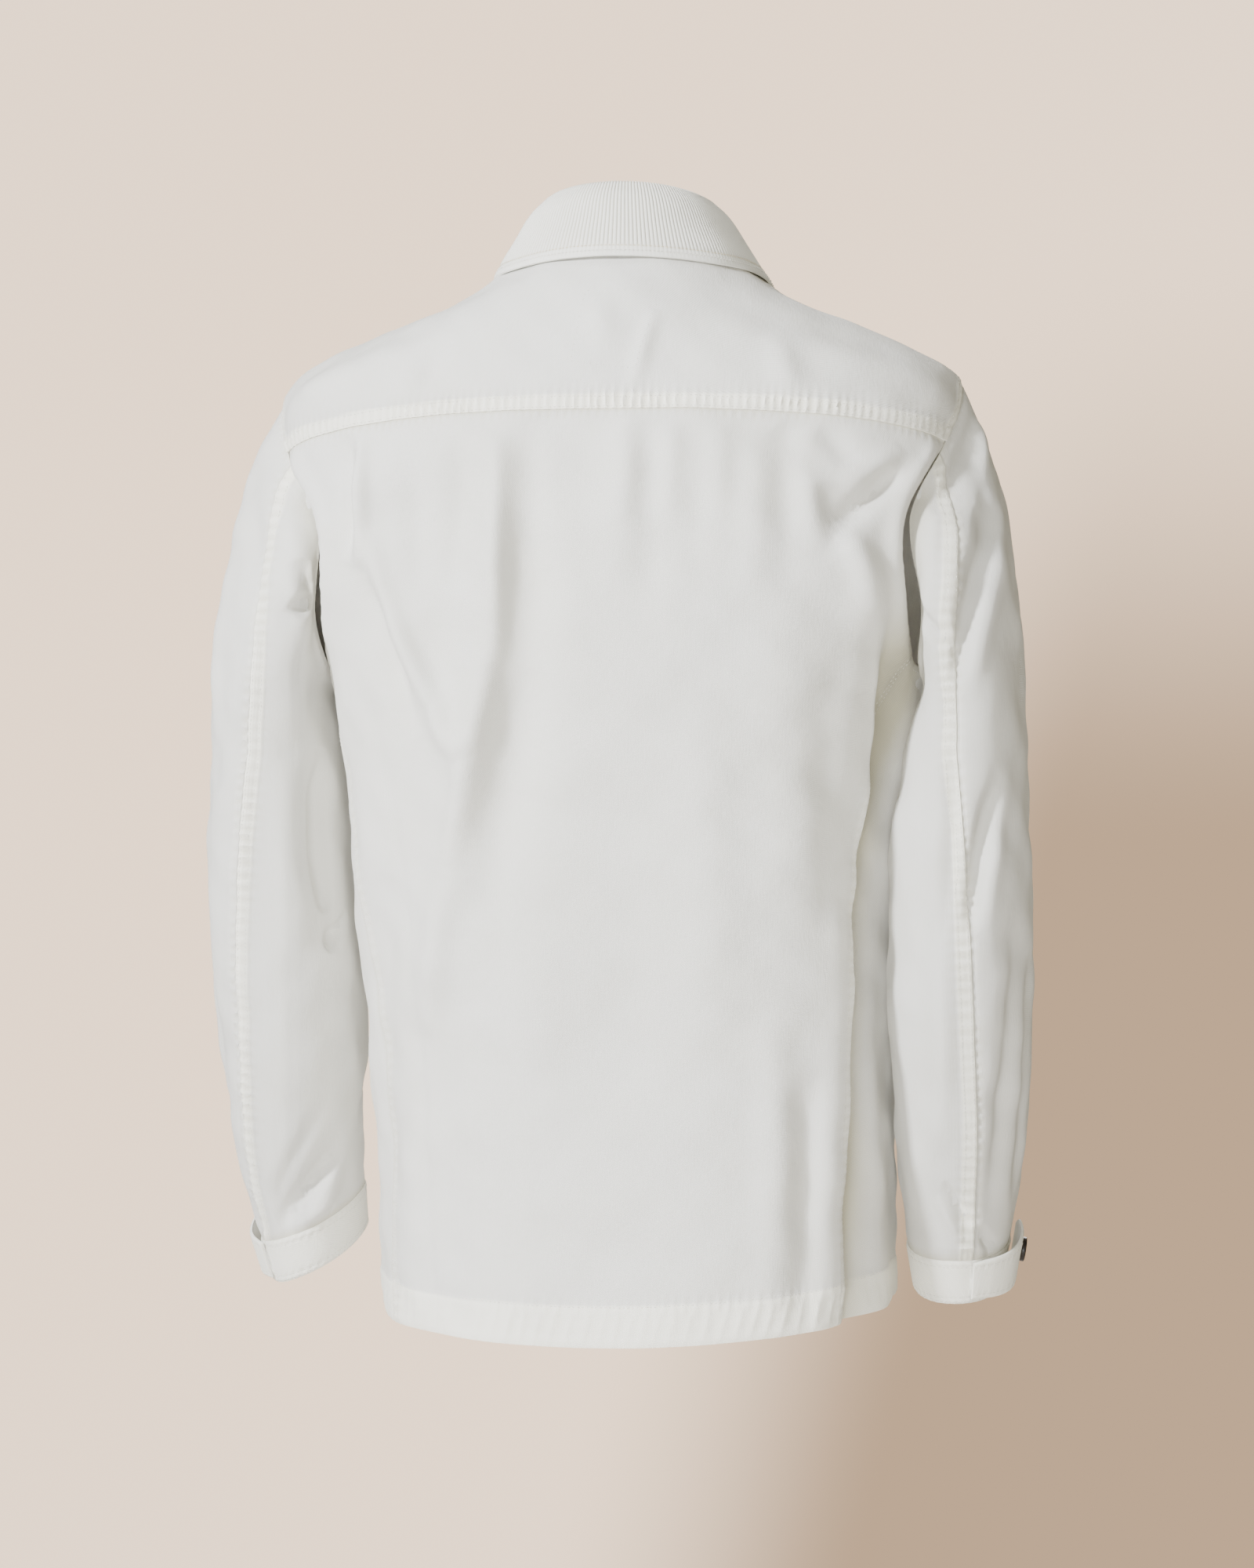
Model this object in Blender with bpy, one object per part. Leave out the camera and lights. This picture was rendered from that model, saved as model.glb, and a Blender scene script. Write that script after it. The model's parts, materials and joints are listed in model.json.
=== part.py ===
"""A cotton work jacket with a corduroy collar, as it hangs on shoulders.

Metres, +Z up. The front faces -Y and the wearer's left is +X. The origin is the
centre of the neck opening at the level of the collar seam.

The torso is one surface, read at a way round (0 at the centre back, 90 at the
wearer's left side, 180 at the centre front) and a way down (0 at the neck seam,
1 at the hem). Every panel is a patch of it with a wall thickness. Each sleeve is a
tube that grows out of the armhole, read at a way round (0 at the back, 90 outside,
180 at the front, 270 beside the body) and a way along (0 at the armhole, 1 where
the sleeve head ends, 2 at the wrist).
"""
from collections import namedtuple

import bpy
import numpy as np

# ---------------------------------------------------------------- driving sizes
WALL = 0.0015                 # one layer of twill, with its seam allowances
HEM_WALL = 0.0026             # the hem is turned up twice
HEM_BAND = 0.027              # height of the turned-up hem
SEAM_GAP = 0.0003             # between two pieces at a seam
SEAM_SHARE = 0.8              # each piece draws back by this part of it, as facets stray
BACK_LENGTH = 0.752           # centre back, neck seam to hem
CUFF_HEIGHT = 0.031
CUFF_WALL = 0.0024
CUFF_PROUD = 0.0007           # the cuff lies this far outside the sleeve's surface
TAB_WALL = 0.0024
TAB_HEIGHT = 0.040
COLLAR_WALL = 0.0024
WALE_HEIGHT = 0.0005
WALE_COUNT = 176              # corduroy ribs round the collar, about 2.5 mm apart
FRONT_OVERLAP = 0.0165        # each front runs this far past the centre front
FRONT_STEP = 0.0007           # the right front lies this far under the left one
BUTTON_RADIUS = 0.0085
BUTTON_THICKNESS = 0.0032
FRONT_BUTTON_HEIGHTS = (-0.115, -0.215, -0.315, -0.415, -0.515, -0.615)

# ---------------------------------------------------------------- torso sections
# half_width at the side, back and front depth from the middle, the height of the
# section at its back, side and front, how square it is (2 is an ellipse), and how
# far it hangs to the wearer's right.
BodyRing = namedtuple("BodyRing",
                      "down half_width back front z_back z_side z_front square sway")
BODY_RINGS = (
    BodyRing(0.000, 0.066, 0.062, 0.072, 0.012, 0.006, -0.068, 2.0, 0.000),    # neck seam
    BodyRing(0.050, 0.111, 0.089, 0.092, -0.020, -0.026, -0.100, 2.0, -0.001),
    BodyRing(0.100, 0.170, 0.106, 0.109, -0.058, -0.051, -0.126, 2.1, -0.006),
    BodyRing(0.150, 0.235, 0.118, 0.122, -0.098, -0.085, -0.152, 2.3, -0.005),  # shoulders
    BodyRing(0.200, 0.244, 0.127, 0.130, -0.138, -0.137, -0.182, 2.4, -0.003),
    BodyRing(0.280, 0.235, 0.134, 0.138, -0.200, -0.200, -0.232, 2.5, 0.000),
    BodyRing(0.400, 0.212, 0.137, 0.142, -0.292, -0.290, -0.312, 2.6, 0.002),  # underarm
    BodyRing(0.450, 0.204, 0.136, 0.142, -0.330, -0.327, -0.346, 2.6, 0.001),
    BodyRing(0.600, 0.192, 0.134, 0.143, -0.443, -0.438, -0.450, 2.7, 0.000),
    BodyRing(0.800, 0.182, 0.133, 0.143, -0.594, -0.583, -0.590, 2.7, 0.004),
    BodyRing(1.000, 0.178, 0.137, 0.144, -0.744, -0.729, -0.732, 2.6, 0.008),  # hem
)

HEM_TILT = 0.022              # the hem hangs lower on the wearer's left

# The armhole is an egg on the torso: its middle and how far it reaches each way.
ARMHOLE_ROUND = 92.0
ARMHOLE_REACH_BACK = 38.0
ARMHOLE_REACH_FRONT = 34.0
ARMHOLE_DOWN = 0.275
ARMHOLE_RISE = 0.125
ARMHOLE_POINTED = 1.6         # the upper half is narrower than an ellipse

# Where seams meet the armhole, in degrees round it, and the steps between them.
BACK_SLEEVE_SEAM = 32
YOKE_END = 38
SHOULDER_SEAM = 104
FRONT_SLEEVE_SEAM = 222
SIDE_SEAM = 288
ALL_ROUND = BACK_SLEEVE_SEAM + 360
Stretch = namedtuple("Stretch", "start end steps")
ARMHOLE_STRETCHES = (
    Stretch(BACK_SLEEVE_SEAM, YOKE_END, 1),
    Stretch(YOKE_END, SHOULDER_SEAM, 3),
    Stretch(SHOULDER_SEAM, FRONT_SLEEVE_SEAM, 7),
    Stretch(FRONT_SLEEVE_SEAM, SIDE_SEAM, 4),
    Stretch(SIDE_SEAM, ALL_ROUND, 7),
)

YOKE_DOWN_CENTRE = 0.172
BACK_COLUMNS = 24             # the yoke has as many, so that they meet at their seam
FRONT_COLUMNS = 9             # as far as the button stand
SIDE_ROWS = 13
UNDER_ARM_DOWN = 0.452        # where the row at the underarm crosses a panel's middle
USUAL_ROUND = 56.0            # how far round the back panel mostly reaches
ROW_CURVE = 2.2               # how late a row turns up or down towards its edge

# The side seam swings to the back below the arm.
SideSeam = namedtuple("SideSeam", "down round")
SIDE_SEAM_LINE = (
    SideSeam(0.392, 79.0),
    SideSeam(0.500, 65.0),
    SideSeam(0.650, 56.0),
    SideSeam(0.800, 54.0),
    SideSeam(1.000, 54.0),
)

# ---------------------------------------------------------------- sleeves
# inner and outer reach from the centre line, the middle's depth, half the depth,
# the tilt of the section across and front to back, and where the back seam runs.
SleeveRing = namedtuple("SleeveRing", "z inner outer y half_depth lean pitch seam")
LEFT_SLEEVE = (
    SleeveRing(-0.345, 0.2075, 0.2965, 0.006, 0.074, 0.10, 0.00, 4.0),
    SleeveRing(-0.430, 0.2010, 0.3015, 0.006, 0.071, 0.02, 0.00, 14.0),
    SleeveRing(-0.485, 0.1975, 0.3010, 0.003, 0.069, -0.04, -0.04, 20.0),
    SleeveRing(-0.535, 0.1955, 0.2970, -0.003, 0.066, -0.12, -0.10, 26.0),
    SleeveRing(-0.590, 0.1975, 0.2905, -0.014, 0.062, -0.22, -0.17, 34.0),
    SleeveRing(-0.640, 0.2020, 0.2820, -0.027, 0.057, -0.32, -0.22, 42.0),
    SleeveRing(-0.674, 0.2035, 0.2752, -0.036, 0.053, -0.38, -0.24, 45.0),
    SleeveRing(-0.707, 0.2040, 0.2675, -0.045, 0.050, -0.42, -0.25, 45.0),
)
RIGHT_SLEEVE = (
    SleeveRing(-0.345, 0.2060, 0.2800, 0.018, 0.074, 0.08, 0.00, -8.0),
    SleeveRing(-0.430, 0.1980, 0.2830, 0.022, 0.071, 0.00, 0.00, 6.0),
    SleeveRing(-0.485, 0.1955, 0.2840, 0.020, 0.069, 0.00, -0.04, 10.0),
    SleeveRing(-0.535, 0.1925, 0.2830, 0.015, 0.066, 0.00, -0.08, 14.0),
    SleeveRing(-0.590, 0.1905, 0.2805, 0.004, 0.062, 0.00, -0.12, 18.0),
    SleeveRing(-0.640, 0.1905, 0.2745, -0.008, 0.057, 0.00, -0.16, 20.0),
    SleeveRing(-0.680, 0.1940, 0.2670, -0.018, 0.053, 0.00, -0.18, 22.0),
    SleeveRing(-0.716, 0.1990, 0.2600, -0.027, 0.050, 0.00, -0.18, 22.0),
)
SLEEVE_SQUARE = 2.2
SEAM_SETTLED = 0.85           # way along where the back seam has reached its table's place
CAP_ROWS = 6
SLEEVE_ROWS = 12
SLEEVES = {"left": (1.0, LEFT_SLEEVE), "right": (-1.0, RIGHT_SLEEVE)}
HEAD_FULLNESS = {"left": 0.06, "right": -0.06}    # how far the sleeve head swells outwards

# ---------------------------------------------------------------- folds
# A fold runs through three places. It stands out by height, or sinks where height
# is negative, and falls away over width. On the torso a place is across and up.
BodyFold = namedtuple("BodyFold", "face x0 z0 x1 z1 x2 z2 height width")
BODY_FOLDS = (
    BodyFold("back", 0.071, -0.120, 0.074, -0.290, 0.112, -0.510, 0.0060, 0.026),
    BodyFold("back", 0.105, -0.150, 0.108, -0.290, 0.150, -0.470, -0.0035, 0.022),
    BodyFold("back", 0.045, -0.200, 0.052, -0.330, 0.080, -0.500, -0.0040, 0.024),
    BodyFold("back", 0.158, -0.195, 0.132, -0.280, 0.089, -0.352, 0.0038, 0.015),
    BodyFold("back", 0.165, -0.140, 0.163, -0.180, 0.160, -0.240, 0.0040, 0.012),
    BodyFold("back", -0.020, -0.115, -0.019, -0.150, -0.018, -0.230, 0.0025, 0.012),
    BodyFold("back", -0.074, -0.118, -0.074, -0.160, -0.070, -0.250, 0.0025, 0.014),
    BodyFold("back", -0.120, -0.190, -0.128, -0.330, -0.140, -0.520, 0.0040, 0.024),
    BodyFold("back", -0.165, -0.420, -0.158, -0.560, -0.150, -0.760, 0.0050, 0.016),
    BodyFold("back", -0.190, -0.250, -0.184, -0.430, -0.174, -0.640, -0.0110, 0.020),
    BodyFold("back", -0.205, -0.150, -0.184, -0.172, -0.156, -0.195, -0.0060, 0.011),
    BodyFold("back", -0.162, -0.200, -0.178, -0.228, -0.188, -0.275, 0.0032, 0.012),
    BodyFold("front", 0.110, -0.160, 0.105, -0.300, 0.120, -0.520, 0.0055, 0.026),
    BodyFold("front", -0.105, -0.170, -0.110, -0.320, -0.105, -0.540, 0.0055, 0.028),
    BodyFold("front", 0.175, -0.210, 0.150, -0.290, 0.100, -0.350, 0.0045, 0.016),
    BodyFold("front", -0.172, -0.205, -0.145, -0.280, -0.095, -0.330, 0.0045, 0.016),
    BodyFold("front", 0.060, -0.520, 0.066, -0.620, 0.062, -0.740, 0.0040, 0.020),
    BodyFold("front", -0.065, -0.540, -0.070, -0.640, -0.066, -0.740, 0.0040, 0.020),
)

# On a sleeve a place is the way round, in degrees (below 0 is beside the body), and the
# height.
SleeveFold = namedtuple("SleeveFold", "side round0 z0 round1 z1 round2 z2 height width")
SLEEVE_FOLDS = (
    SleeveFold("left", -38, -0.240, -20, -0.245, -2, -0.241, -0.0050, 0.010),
    SleeveFold("left", -32, -0.220, -16, -0.224, 2, -0.218, 0.0030, 0.010),
    SleeveFold("left", -56, -0.350, -52, -0.420, -55, -0.490, -0.0050, 0.013),
    SleeveFold("left", -60, -0.618, -24, -0.650, 18, -0.676, -0.0060, 0.012),
    SleeveFold("left", -74, -0.632, -36, -0.668, 2, -0.690, 0.0035, 0.010),
    SleeveFold("left", 150, -0.330, 165, -0.420, 150, -0.520, 0.0050, 0.018),
    SleeveFold("left", 190, -0.420, 215, -0.455, 240, -0.475, -0.0050, 0.013),
    SleeveFold("left", 120, -0.250, 140, -0.310, 185, -0.345, -0.0040, 0.016),
    SleeveFold("right", 56, -0.118, 40, -0.146, 16, -0.192, -0.0055, 0.010),
    SleeveFold("right", 52, -0.178, 22, -0.248, -8, -0.302, -0.0045, 0.011),
    SleeveFold("right", 38, -0.356, 18, -0.420, 9, -0.476, -0.0040, 0.013),
    SleeveFold("right", 60, -0.456, 50, -0.566, 36, -0.662, -0.0035, 0.015),
    SleeveFold("right", 155, -0.330, 170, -0.430, 150, -0.530, 0.0050, 0.018),
    SleeveFold("right", 185, -0.430, 215, -0.470, 240, -0.490, -0.0050, 0.013),
    SleeveFold("right", 125, -0.240, 145, -0.300, 190, -0.340, -0.0040, 0.016),
)

# ---------------------------------------------------------------- collar
# The collar's middle line from its sewn foot up the stand, over the roll and down
# the fall: how far outside the neck seam, and how high in parts of the stand.
CollarLine = namedtuple("CollarLine", "out up")
COLLAR_FOOT = CollarLine(-0.0031, -0.06)
COLLAR_STAND = CollarLine(-0.0068, 0.84)
COLLAR_ROLL = CollarLine(-0.0016, 1.00)
COLLAR_TURN = CollarLine(0.0040, 0.86)
STAND_HEIGHT_BACK = 0.0335
STAND_HEIGHT_FRONT = 0.022
SIDE_LEAN = 0.0075            # the stand leans in further at the sides of the neck
COLLAR_END = 157.5            # each end stops this far round from the centre back
FALL_LIFT = 0.0010            # the fall's lower edge clears the cloth under it,
FRONT_FALL_LIFT = 0.0030      # and by this much more over the doubled front
FALL_BOW = 0.0014             # the fall bows out between the roll and its edge
CollarReach = namedtuple("CollarReach", "round down")
COLLAR_REACH = (              # how far down the torso the fall's edge comes
    CollarReach(0.0, 0.034),
    CollarReach(45.0, 0.034),
    CollarReach(90.0, 0.034),
    CollarReach(140.0, 0.072),
    CollarReach(157.5, 0.088),
)
COLLAR_PLAIN_COLUMNS = 44

# ---------------------------------------------------------------- colours
TWILL_COLOUR = (0.80, 0.80, 0.77)
CORD_COLOUR = (0.81, 0.81, 0.75)
BUTTON_COLOUR = (0.030, 0.026, 0.024)


# ---------------------------------------------------------------- small helpers
def unit(vectors):
    """Vectors of length one."""
    return vectors / np.linalg.norm(vectors, axis=-1, keepdims=True)


def ease(value):
    """0 below 0, 1 above 1 and a smooth step between."""
    held = np.clip(value, 0.0, 1.0)
    return held * held * (3.0 - 2.0 * held)


def read_table(table, where):
    """The table's other columns at each place in its first one, on a smooth curve."""
    rows = np.array(table, dtype=float)
    knots = rows[:, 0]
    descending = knots[0] > knots[-1]
    if descending:
        rows = rows[::-1]
        knots = rows[:, 0]
    slopes = np.gradient(rows[:, 1:], knots, axis=0)
    where = np.asarray(where, dtype=float)
    index = np.clip(np.searchsorted(knots, where) - 1, 0, len(knots) - 2)
    span = knots[index + 1] - knots[index]
    t = ((where - knots[index]) / span)[..., None]
    span = span[..., None]
    start, end = rows[index, 1:], rows[index + 1, 1:]
    return (start * (1 + 2 * t) * (1 - t) ** 2 + slopes[index] * span * t * (1 - t) ** 2
            + end * t * t * (3 - 2 * t) + slopes[index + 1] * span * t * t * (t - 1))


def squared_circle(angle, square):
    """Sine and cosine, pushed out towards the corners of a square."""
    sine, cosine = np.sin(angle), np.cos(angle)
    push = (np.abs(sine) ** square + np.abs(cosine) ** square) ** (-1.0 / square)
    return sine * push, cosine * push


def fold_height(place, start, middle, end, height, width):
    """How far a fold lifts each place, for a fold through three places."""
    t = np.linspace(0.0, 1.0, 21)[:, None]
    path = ((1 - t) * (1 - 2 * t)) * start + (4 * t * (1 - t)) * middle + (t * (2 * t - 1)) * end
    away = np.linalg.norm(place[..., None, :] - path, axis=-1)
    nearest = away.argmin(axis=-1)
    fade = np.sin(np.pi * np.clip(t[nearest, 0], 0.04, 0.96)) ** 0.6
    return height * fade * np.exp(-(away.min(axis=-1) / width) ** 2)


# ---------------------------------------------------------------- the torso
def armhole_place(around):
    """Way round and way down the torso of places round the armhole, in degrees."""
    angle = np.radians(around)
    reach = np.where(np.cos(angle) > 0, ARMHOLE_REACH_BACK, ARMHOLE_REACH_FRONT)
    across = np.abs(np.cos(angle))
    across = np.where(np.sin(angle) > 0, across ** ARMHOLE_POINTED, across)
    return (ARMHOLE_ROUND - reach * across * np.sign(np.cos(angle)),
            ARMHOLE_DOWN - ARMHOLE_RISE * np.sin(angle))


def plain_body(around, down):
    """Places on the torso before it folds."""
    ring = read_table(BODY_RINGS, down)
    half_width, back, front, z_back, z_side, z_front, square, sway = np.moveaxis(ring, -1, 0)
    angle = np.radians(around)
    sine, cosine = squared_circle(angle, square)
    depth = np.where(cosine > 0, back, front)
    to_back = np.clip(np.cos(angle), 0, 1) ** 2
    to_front = np.clip(-np.cos(angle), 0, 1) ** 2
    z = z_side + (z_back - z_side) * to_back + (z_front - z_side) * to_front
    x = half_width * sine - sway
    return np.stack([x, depth * cosine, z - HEM_TILT * x * down ** 2], axis=-1)


def normals_of(surface, first, second, step_first, step_second):
    """Unit normals of a surface that is read at two numbers."""
    along_first = surface(first + step_first, second) - surface(first - step_first, second)
    along_second = surface(first, second + step_second) - surface(first, second - step_second)
    return unit(np.cross(along_first, along_second))


RIM_ROUND, RIM_DOWN = armhole_place(np.arange(0.0, 360.0, 7.5))
ARMHOLE_RIMS = np.concatenate([plain_body(RIM_ROUND, RIM_DOWN), plain_body(-RIM_ROUND, RIM_DOWN)])


def body_lift(point):
    """How far the folds lift places on the torso; nothing close to the armholes."""
    lift = np.zeros(point.shape[:-1])
    for fold in BODY_FOLDS:
        facing = ease((point[..., 1] if fold.face == "back" else -point[..., 1]) / 0.04)
        lift += facing * fold_height(
            point[..., ::2], np.array([fold.x0, fold.z0]), np.array([fold.x1, fold.z1]),
            np.array([fold.x2, fold.z2]), fold.height, fold.width)
    clear = np.linalg.norm(point[..., None, :] - ARMHOLE_RIMS, axis=-1).min(axis=-1)
    return lift * ease((clear - 0.003) / 0.022)


def body(around, down):
    """Places on the torso, folds and all."""
    around, down = np.broadcast_arrays(np.asarray(around, float), np.asarray(down, float))
    point = plain_body(around, down)
    normal = normals_of(plain_body, around, down, 0.5, 0.002)
    return point + normal * body_lift(point)[..., None]


def body_normal(around, down):
    """Unit normals of the folded torso, facing out."""
    around, down = np.broadcast_arrays(np.asarray(around, float), np.asarray(down, float))
    return normals_of(body, around, down, 0.5, 0.002)


# ---------------------------------------------------------------- the sleeves
def sleeve_ring_point(side, around, z):
    """Places on a sleeve's sections, below the sleeve head."""
    sign, table = SLEEVES[side]
    inner, outer, y, half_depth, lean, pitch, _ = np.moveaxis(read_table(table, z), -1, 0)
    sine, cosine = squared_circle(np.radians(around), SLEEVE_SQUARE)
    across = (outer - inner) / 2 * sine
    depth = half_depth * cosine
    return np.stack([sign * ((inner + outer) / 2 + across), y + depth,
                     z + lean * across + pitch * depth], axis=-1)


def plain_sleeve(side, around, along):
    """Places on a sleeve before it folds: the head, then the straight part."""
    sign, table = SLEEVES[side]
    z_top, z_end = table[0].z, table[-1].z
    straight = np.clip(along - 1.0, 0.0, 1.0)
    lower = sleeve_ring_point(side, around, z_top + (z_end - z_top) * straight)
    top = sleeve_ring_point(side, around, np.full_like(straight, z_top))
    past = sleeve_ring_point(side, around, np.full_like(straight, z_top - 0.01))
    place_round, place_down = armhole_place(around)
    armhole = plain_body(sign * place_round, place_down)
    span = np.linalg.norm(top - armhole, axis=-1, keepdims=True)
    sine = np.sin(np.radians(around))
    leaving = unit(np.stack([sign * (0.50 + HEAD_FULLNESS[side] * sine), 0.22 * np.cos(np.radians(around)),
                             np.full_like(sine, -0.86)], axis=-1))
    arriving = unit(past - top)
    t = np.clip(along, 0.0, 1.0)[..., None]
    head = (armhole * (1 + 2 * t) * (1 - t) ** 2 + leaving * span * t * (1 - t) ** 2
            + top * t * t * (3 - 2 * t) + arriving * span * t * t * (t - 1))
    return np.where(along[..., None] < 1.0, head, lower)


def sleeve_lift(side, around, along, point):
    """How far the folds lift places on a sleeve; nothing at its two ends."""
    lift = np.zeros(along.shape)
    radius = 0.062
    turned = np.radians(around) * radius
    for fold in SLEEVE_FOLDS:
        if fold.side != side:
            continue
        for turn in (-360.0, 0.0, 360.0):
            ends = [np.array([np.radians(degrees + turn) * radius, z]) for degrees, z in
                    ((fold.round0, fold.z0), (fold.round1, fold.z1), (fold.round2, fold.z2))]
            lift += fold_height(np.stack([turned, point[..., 2]], axis=-1), *ends,
                                fold.height, fold.width)
    beside_body = np.clip(-np.sin(np.radians(around)), 0, 1)
    inward_only = np.where(lift > 0, lift * (1 - beside_body), lift)
    return inward_only * ease(along / 0.30) * ease((2.0 - along) / 0.16)


def sleeve(side, around, along):
    """Places on a sleeve, folds and all."""
    around, along = np.broadcast_arrays(np.asarray(around, float), np.asarray(along, float))
    point = plain_sleeve(side, around, along)
    normal = SLEEVES[side][0] * normals_of(
        lambda a, b: plain_sleeve(side, a, b), around, np.clip(along, 0.01, 1.99), 0.5, 0.01)
    return point + normal * sleeve_lift(side, around, along, point)[..., None]


def sleeve_normal(side, around, along):
    """Unit normals of a folded sleeve, facing out."""
    around, along = np.broadcast_arrays(np.asarray(around, float), np.asarray(along, float))
    return SLEEVES[side][0] * normals_of(
        lambda a, b: sleeve(side, a, b), around, np.clip(along, 0.01, 1.99), 0.5, 0.01)


def armhole_mitre(side, around):
    """The direction that splits the angle between the torso and the sleeve."""
    sign = SLEEVES[side][0]
    place_round, place_down = armhole_place(around)
    torso = body_normal(sign * place_round, place_down)
    tube = sleeve_normal(side, around, np.full(np.shape(around), 0.02))
    return unit(torso + tube)


# ---------------------------------------------------------------- making solids
def principled(name, colour, roughness):
    """A plain material for a piece."""
    material = bpy.data.materials.new(name)
    material.use_nodes = True
    shader = material.node_tree.nodes["Principled BSDF"]
    shader.inputs["Base Color"].default_value = (*colour, 1.0)
    shader.inputs["Roughness"].default_value = roughness
    shader.inputs["Metallic"].default_value = 0.0
    return material


def add_object(name, points, faces, colour, roughness, smooth=True):
    """One closed piece, its faces turned outwards."""
    points = np.asarray(points, dtype=float)
    middle = points.mean(axis=0)
    volume = 0.0
    for face in faces:
        first = points[face[0]] - middle
        for second, third in zip(face[1:-1], face[2:]):
            volume += np.dot(first, np.cross(points[second] - middle, points[third] - middle))
    if volume < 0:
        faces = [tuple(reversed(face)) for face in faces]
    mesh = bpy.data.meshes.new(name)
    mesh.from_pydata([tuple(point) for point in points], [], faces)
    mesh.validate()
    if smooth:
        mesh.shade_smooth()
        mesh.set_sharp_from_angle(angle=np.radians(50))
    piece = bpy.data.objects.new(name, mesh)
    piece.data.materials.append(principled(name + "_material", colour, roughness))
    bpy.context.scene.collection.objects.link(piece)
    return piece


def part_from_seams(outer, inner, closed):
    """Draw the edges of a wall back by half a seam gap, both faces alike."""
    outer, inner = outer.copy(), inner.copy()
    grids = [(outer, inner)]
    if not closed:
        grids.append((outer.swapaxes(0, 1), inner.swapaxes(0, 1)))
    for out, within in grids:
        for edge, neighbour in ((0, 1), (-1, -2)):
            along = unit(np.gradient(out[edge], axis=0))
            back = out[neighbour] - out[edge]
            back = unit(back - along * (back * along).sum(axis=-1, keepdims=True))
            out[edge] += back * SEAM_GAP * SEAM_SHARE
            within[edge] += back * SEAM_GAP * SEAM_SHARE
    return outer, inner


def wall_faces(rows, columns, closed):
    """Faces of a wall whose outer points come first and inner points second."""
    inner = rows * columns
    faces = []
    last = columns if closed else columns - 1
    for row in range(rows - 1):
        for column in range(last):
            a = row * columns + column
            b = row * columns + (column + 1) % columns
            c, d = b + columns, a + columns
            faces.append((a, b, c, d))
            faces.append((inner + d, inner + c, inner + b, inner + a))
    for column in range(last):
        a, b = column, (column + 1) % columns
        faces.append((b, a, inner + a, inner + b))
        low = (rows - 1) * columns
        faces.append((low + a, low + b, inner + low + b, inner + low + a))
    if not closed:
        for row in range(rows - 1):
            a, d = row * columns, (row + 1) * columns
            faces.append((a, d, inner + d, inner + a))
            e = columns - 1
            faces.append((d + e, a + e, inner + a + e, inner + d + e))
    return faces


def add_wall(name, outer, inner, colour=TWILL_COLOUR, roughness=0.9, closed=False):
    """A wall between two grids of points."""
    outer, inner = part_from_seams(outer, inner, closed)
    rows, columns = outer.shape[:2]
    points = np.concatenate([outer.reshape(-1, 3), inner.reshape(-1, 3)])
    return add_object(name, points, wall_faces(rows, columns, closed), colour, roughness)


# ---------------------------------------------------------------- torso panels
def stations(start, end):
    """Places round the armhole from one seam to another, shared by all that meet there."""
    places = []
    for stretch in ARMHOLE_STRETCHES:
        places.extend(np.linspace(stretch.start, stretch.end, stretch.steps + 1)[:-1])
    places = np.array(places + [float(ALL_ROUND)])
    low, high = min(start, end), max(start, end)
    chosen = places[(places > low - 0.01) & (places < high + 0.01)]
    return chosen if start <= end else chosen[::-1]


def spread(start, end, steps):
    """Evenly spaced numbers after start, up to end."""
    return np.linspace(start, end, steps + 1)[1:]


def side_rows():
    """Ways down the side seam below the armhole, closer at the hem's stitching."""
    hem_top = 1.0 - HEM_BAND / BACK_LENGTH
    start = armhole_place(SIDE_SEAM)[1]
    return np.concatenate([spread(start, hem_top - 0.004, SIDE_ROWS), [hem_top, 0.982, 1.0]])


def middle_rows(start):
    """Where those rows cross the middle of a panel, from a way down just above them."""
    rows = side_rows()
    share = (rows - rows[0]) / (1.0 - rows[0])
    first = start + (rows[1] - rows[0])
    return first + (1.0 - first) * share


def wall_depth(down):
    """Wall thickness: more in the turned-up hem."""
    hem_top = 1.0 - HEM_BAND / BACK_LENGTH
    return WALL + (HEM_WALL - WALL) * ease((down - hem_top + 0.004) / 0.004)


def torso_wall(name, around, down, armholes, sink=None):
    """A torso panel from the places of its grid; armholes marks points on that seam."""
    outer = body(around, down)
    normal = body_normal(around, down)
    for side, (sign, _) in SLEEVES.items():
        for row, column, station in armholes:
            if np.sign(around[row, column]) == sign:
                normal[row, column] = armhole_mitre(side, np.array(station))
    if sink is not None:
        outer = outer - normal * sink[..., None]
    inner = outer - normal * wall_depth(down)[..., None]
    return add_wall(name, outer, inner)


def back_grid(edge, middle):
    """The grid of a panel that is the same on both sides, from its edge and its middle."""
    share = np.linspace(-1.0, 1.0, BACK_COLUMNS + 1)
    around = [USUAL_ROUND * share + (end[0] - USUAL_ROUND) * np.abs(share) ** 3 * np.sign(share)
              for end in edge]
    down = [mid + (end[1] - mid) * np.abs(share) ** ROW_CURVE for end, mid in zip(edge, middle)]
    on_seam = [(row, column, end[2]) for row, end in enumerate(edge) if end[2] is not None
               for column in (0, BACK_COLUMNS)]
    return np.array(around), np.array(down), on_seam


def yoke_edge():
    """The yoke's outer edge: the shoulder seam, then the back of the armhole."""
    top_round, top_down = armhole_place(SHOULDER_SEAM)
    shoulder = [(top_round, down, None) for down in np.linspace(0.0, top_down, 5)[:-1]]
    arm = [(*armhole_place(station), station) for station in stations(SHOULDER_SEAM, YOKE_END)]
    return shoulder + arm


def make_yoke():
    """The back yoke, over both shoulders to the forward shoulder seams."""
    edge = yoke_edge()
    middle = np.linspace(0.0, YOKE_DOWN_CENTRE, len(edge))
    return torso_wall("yoke", *back_grid(edge, middle))


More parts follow.
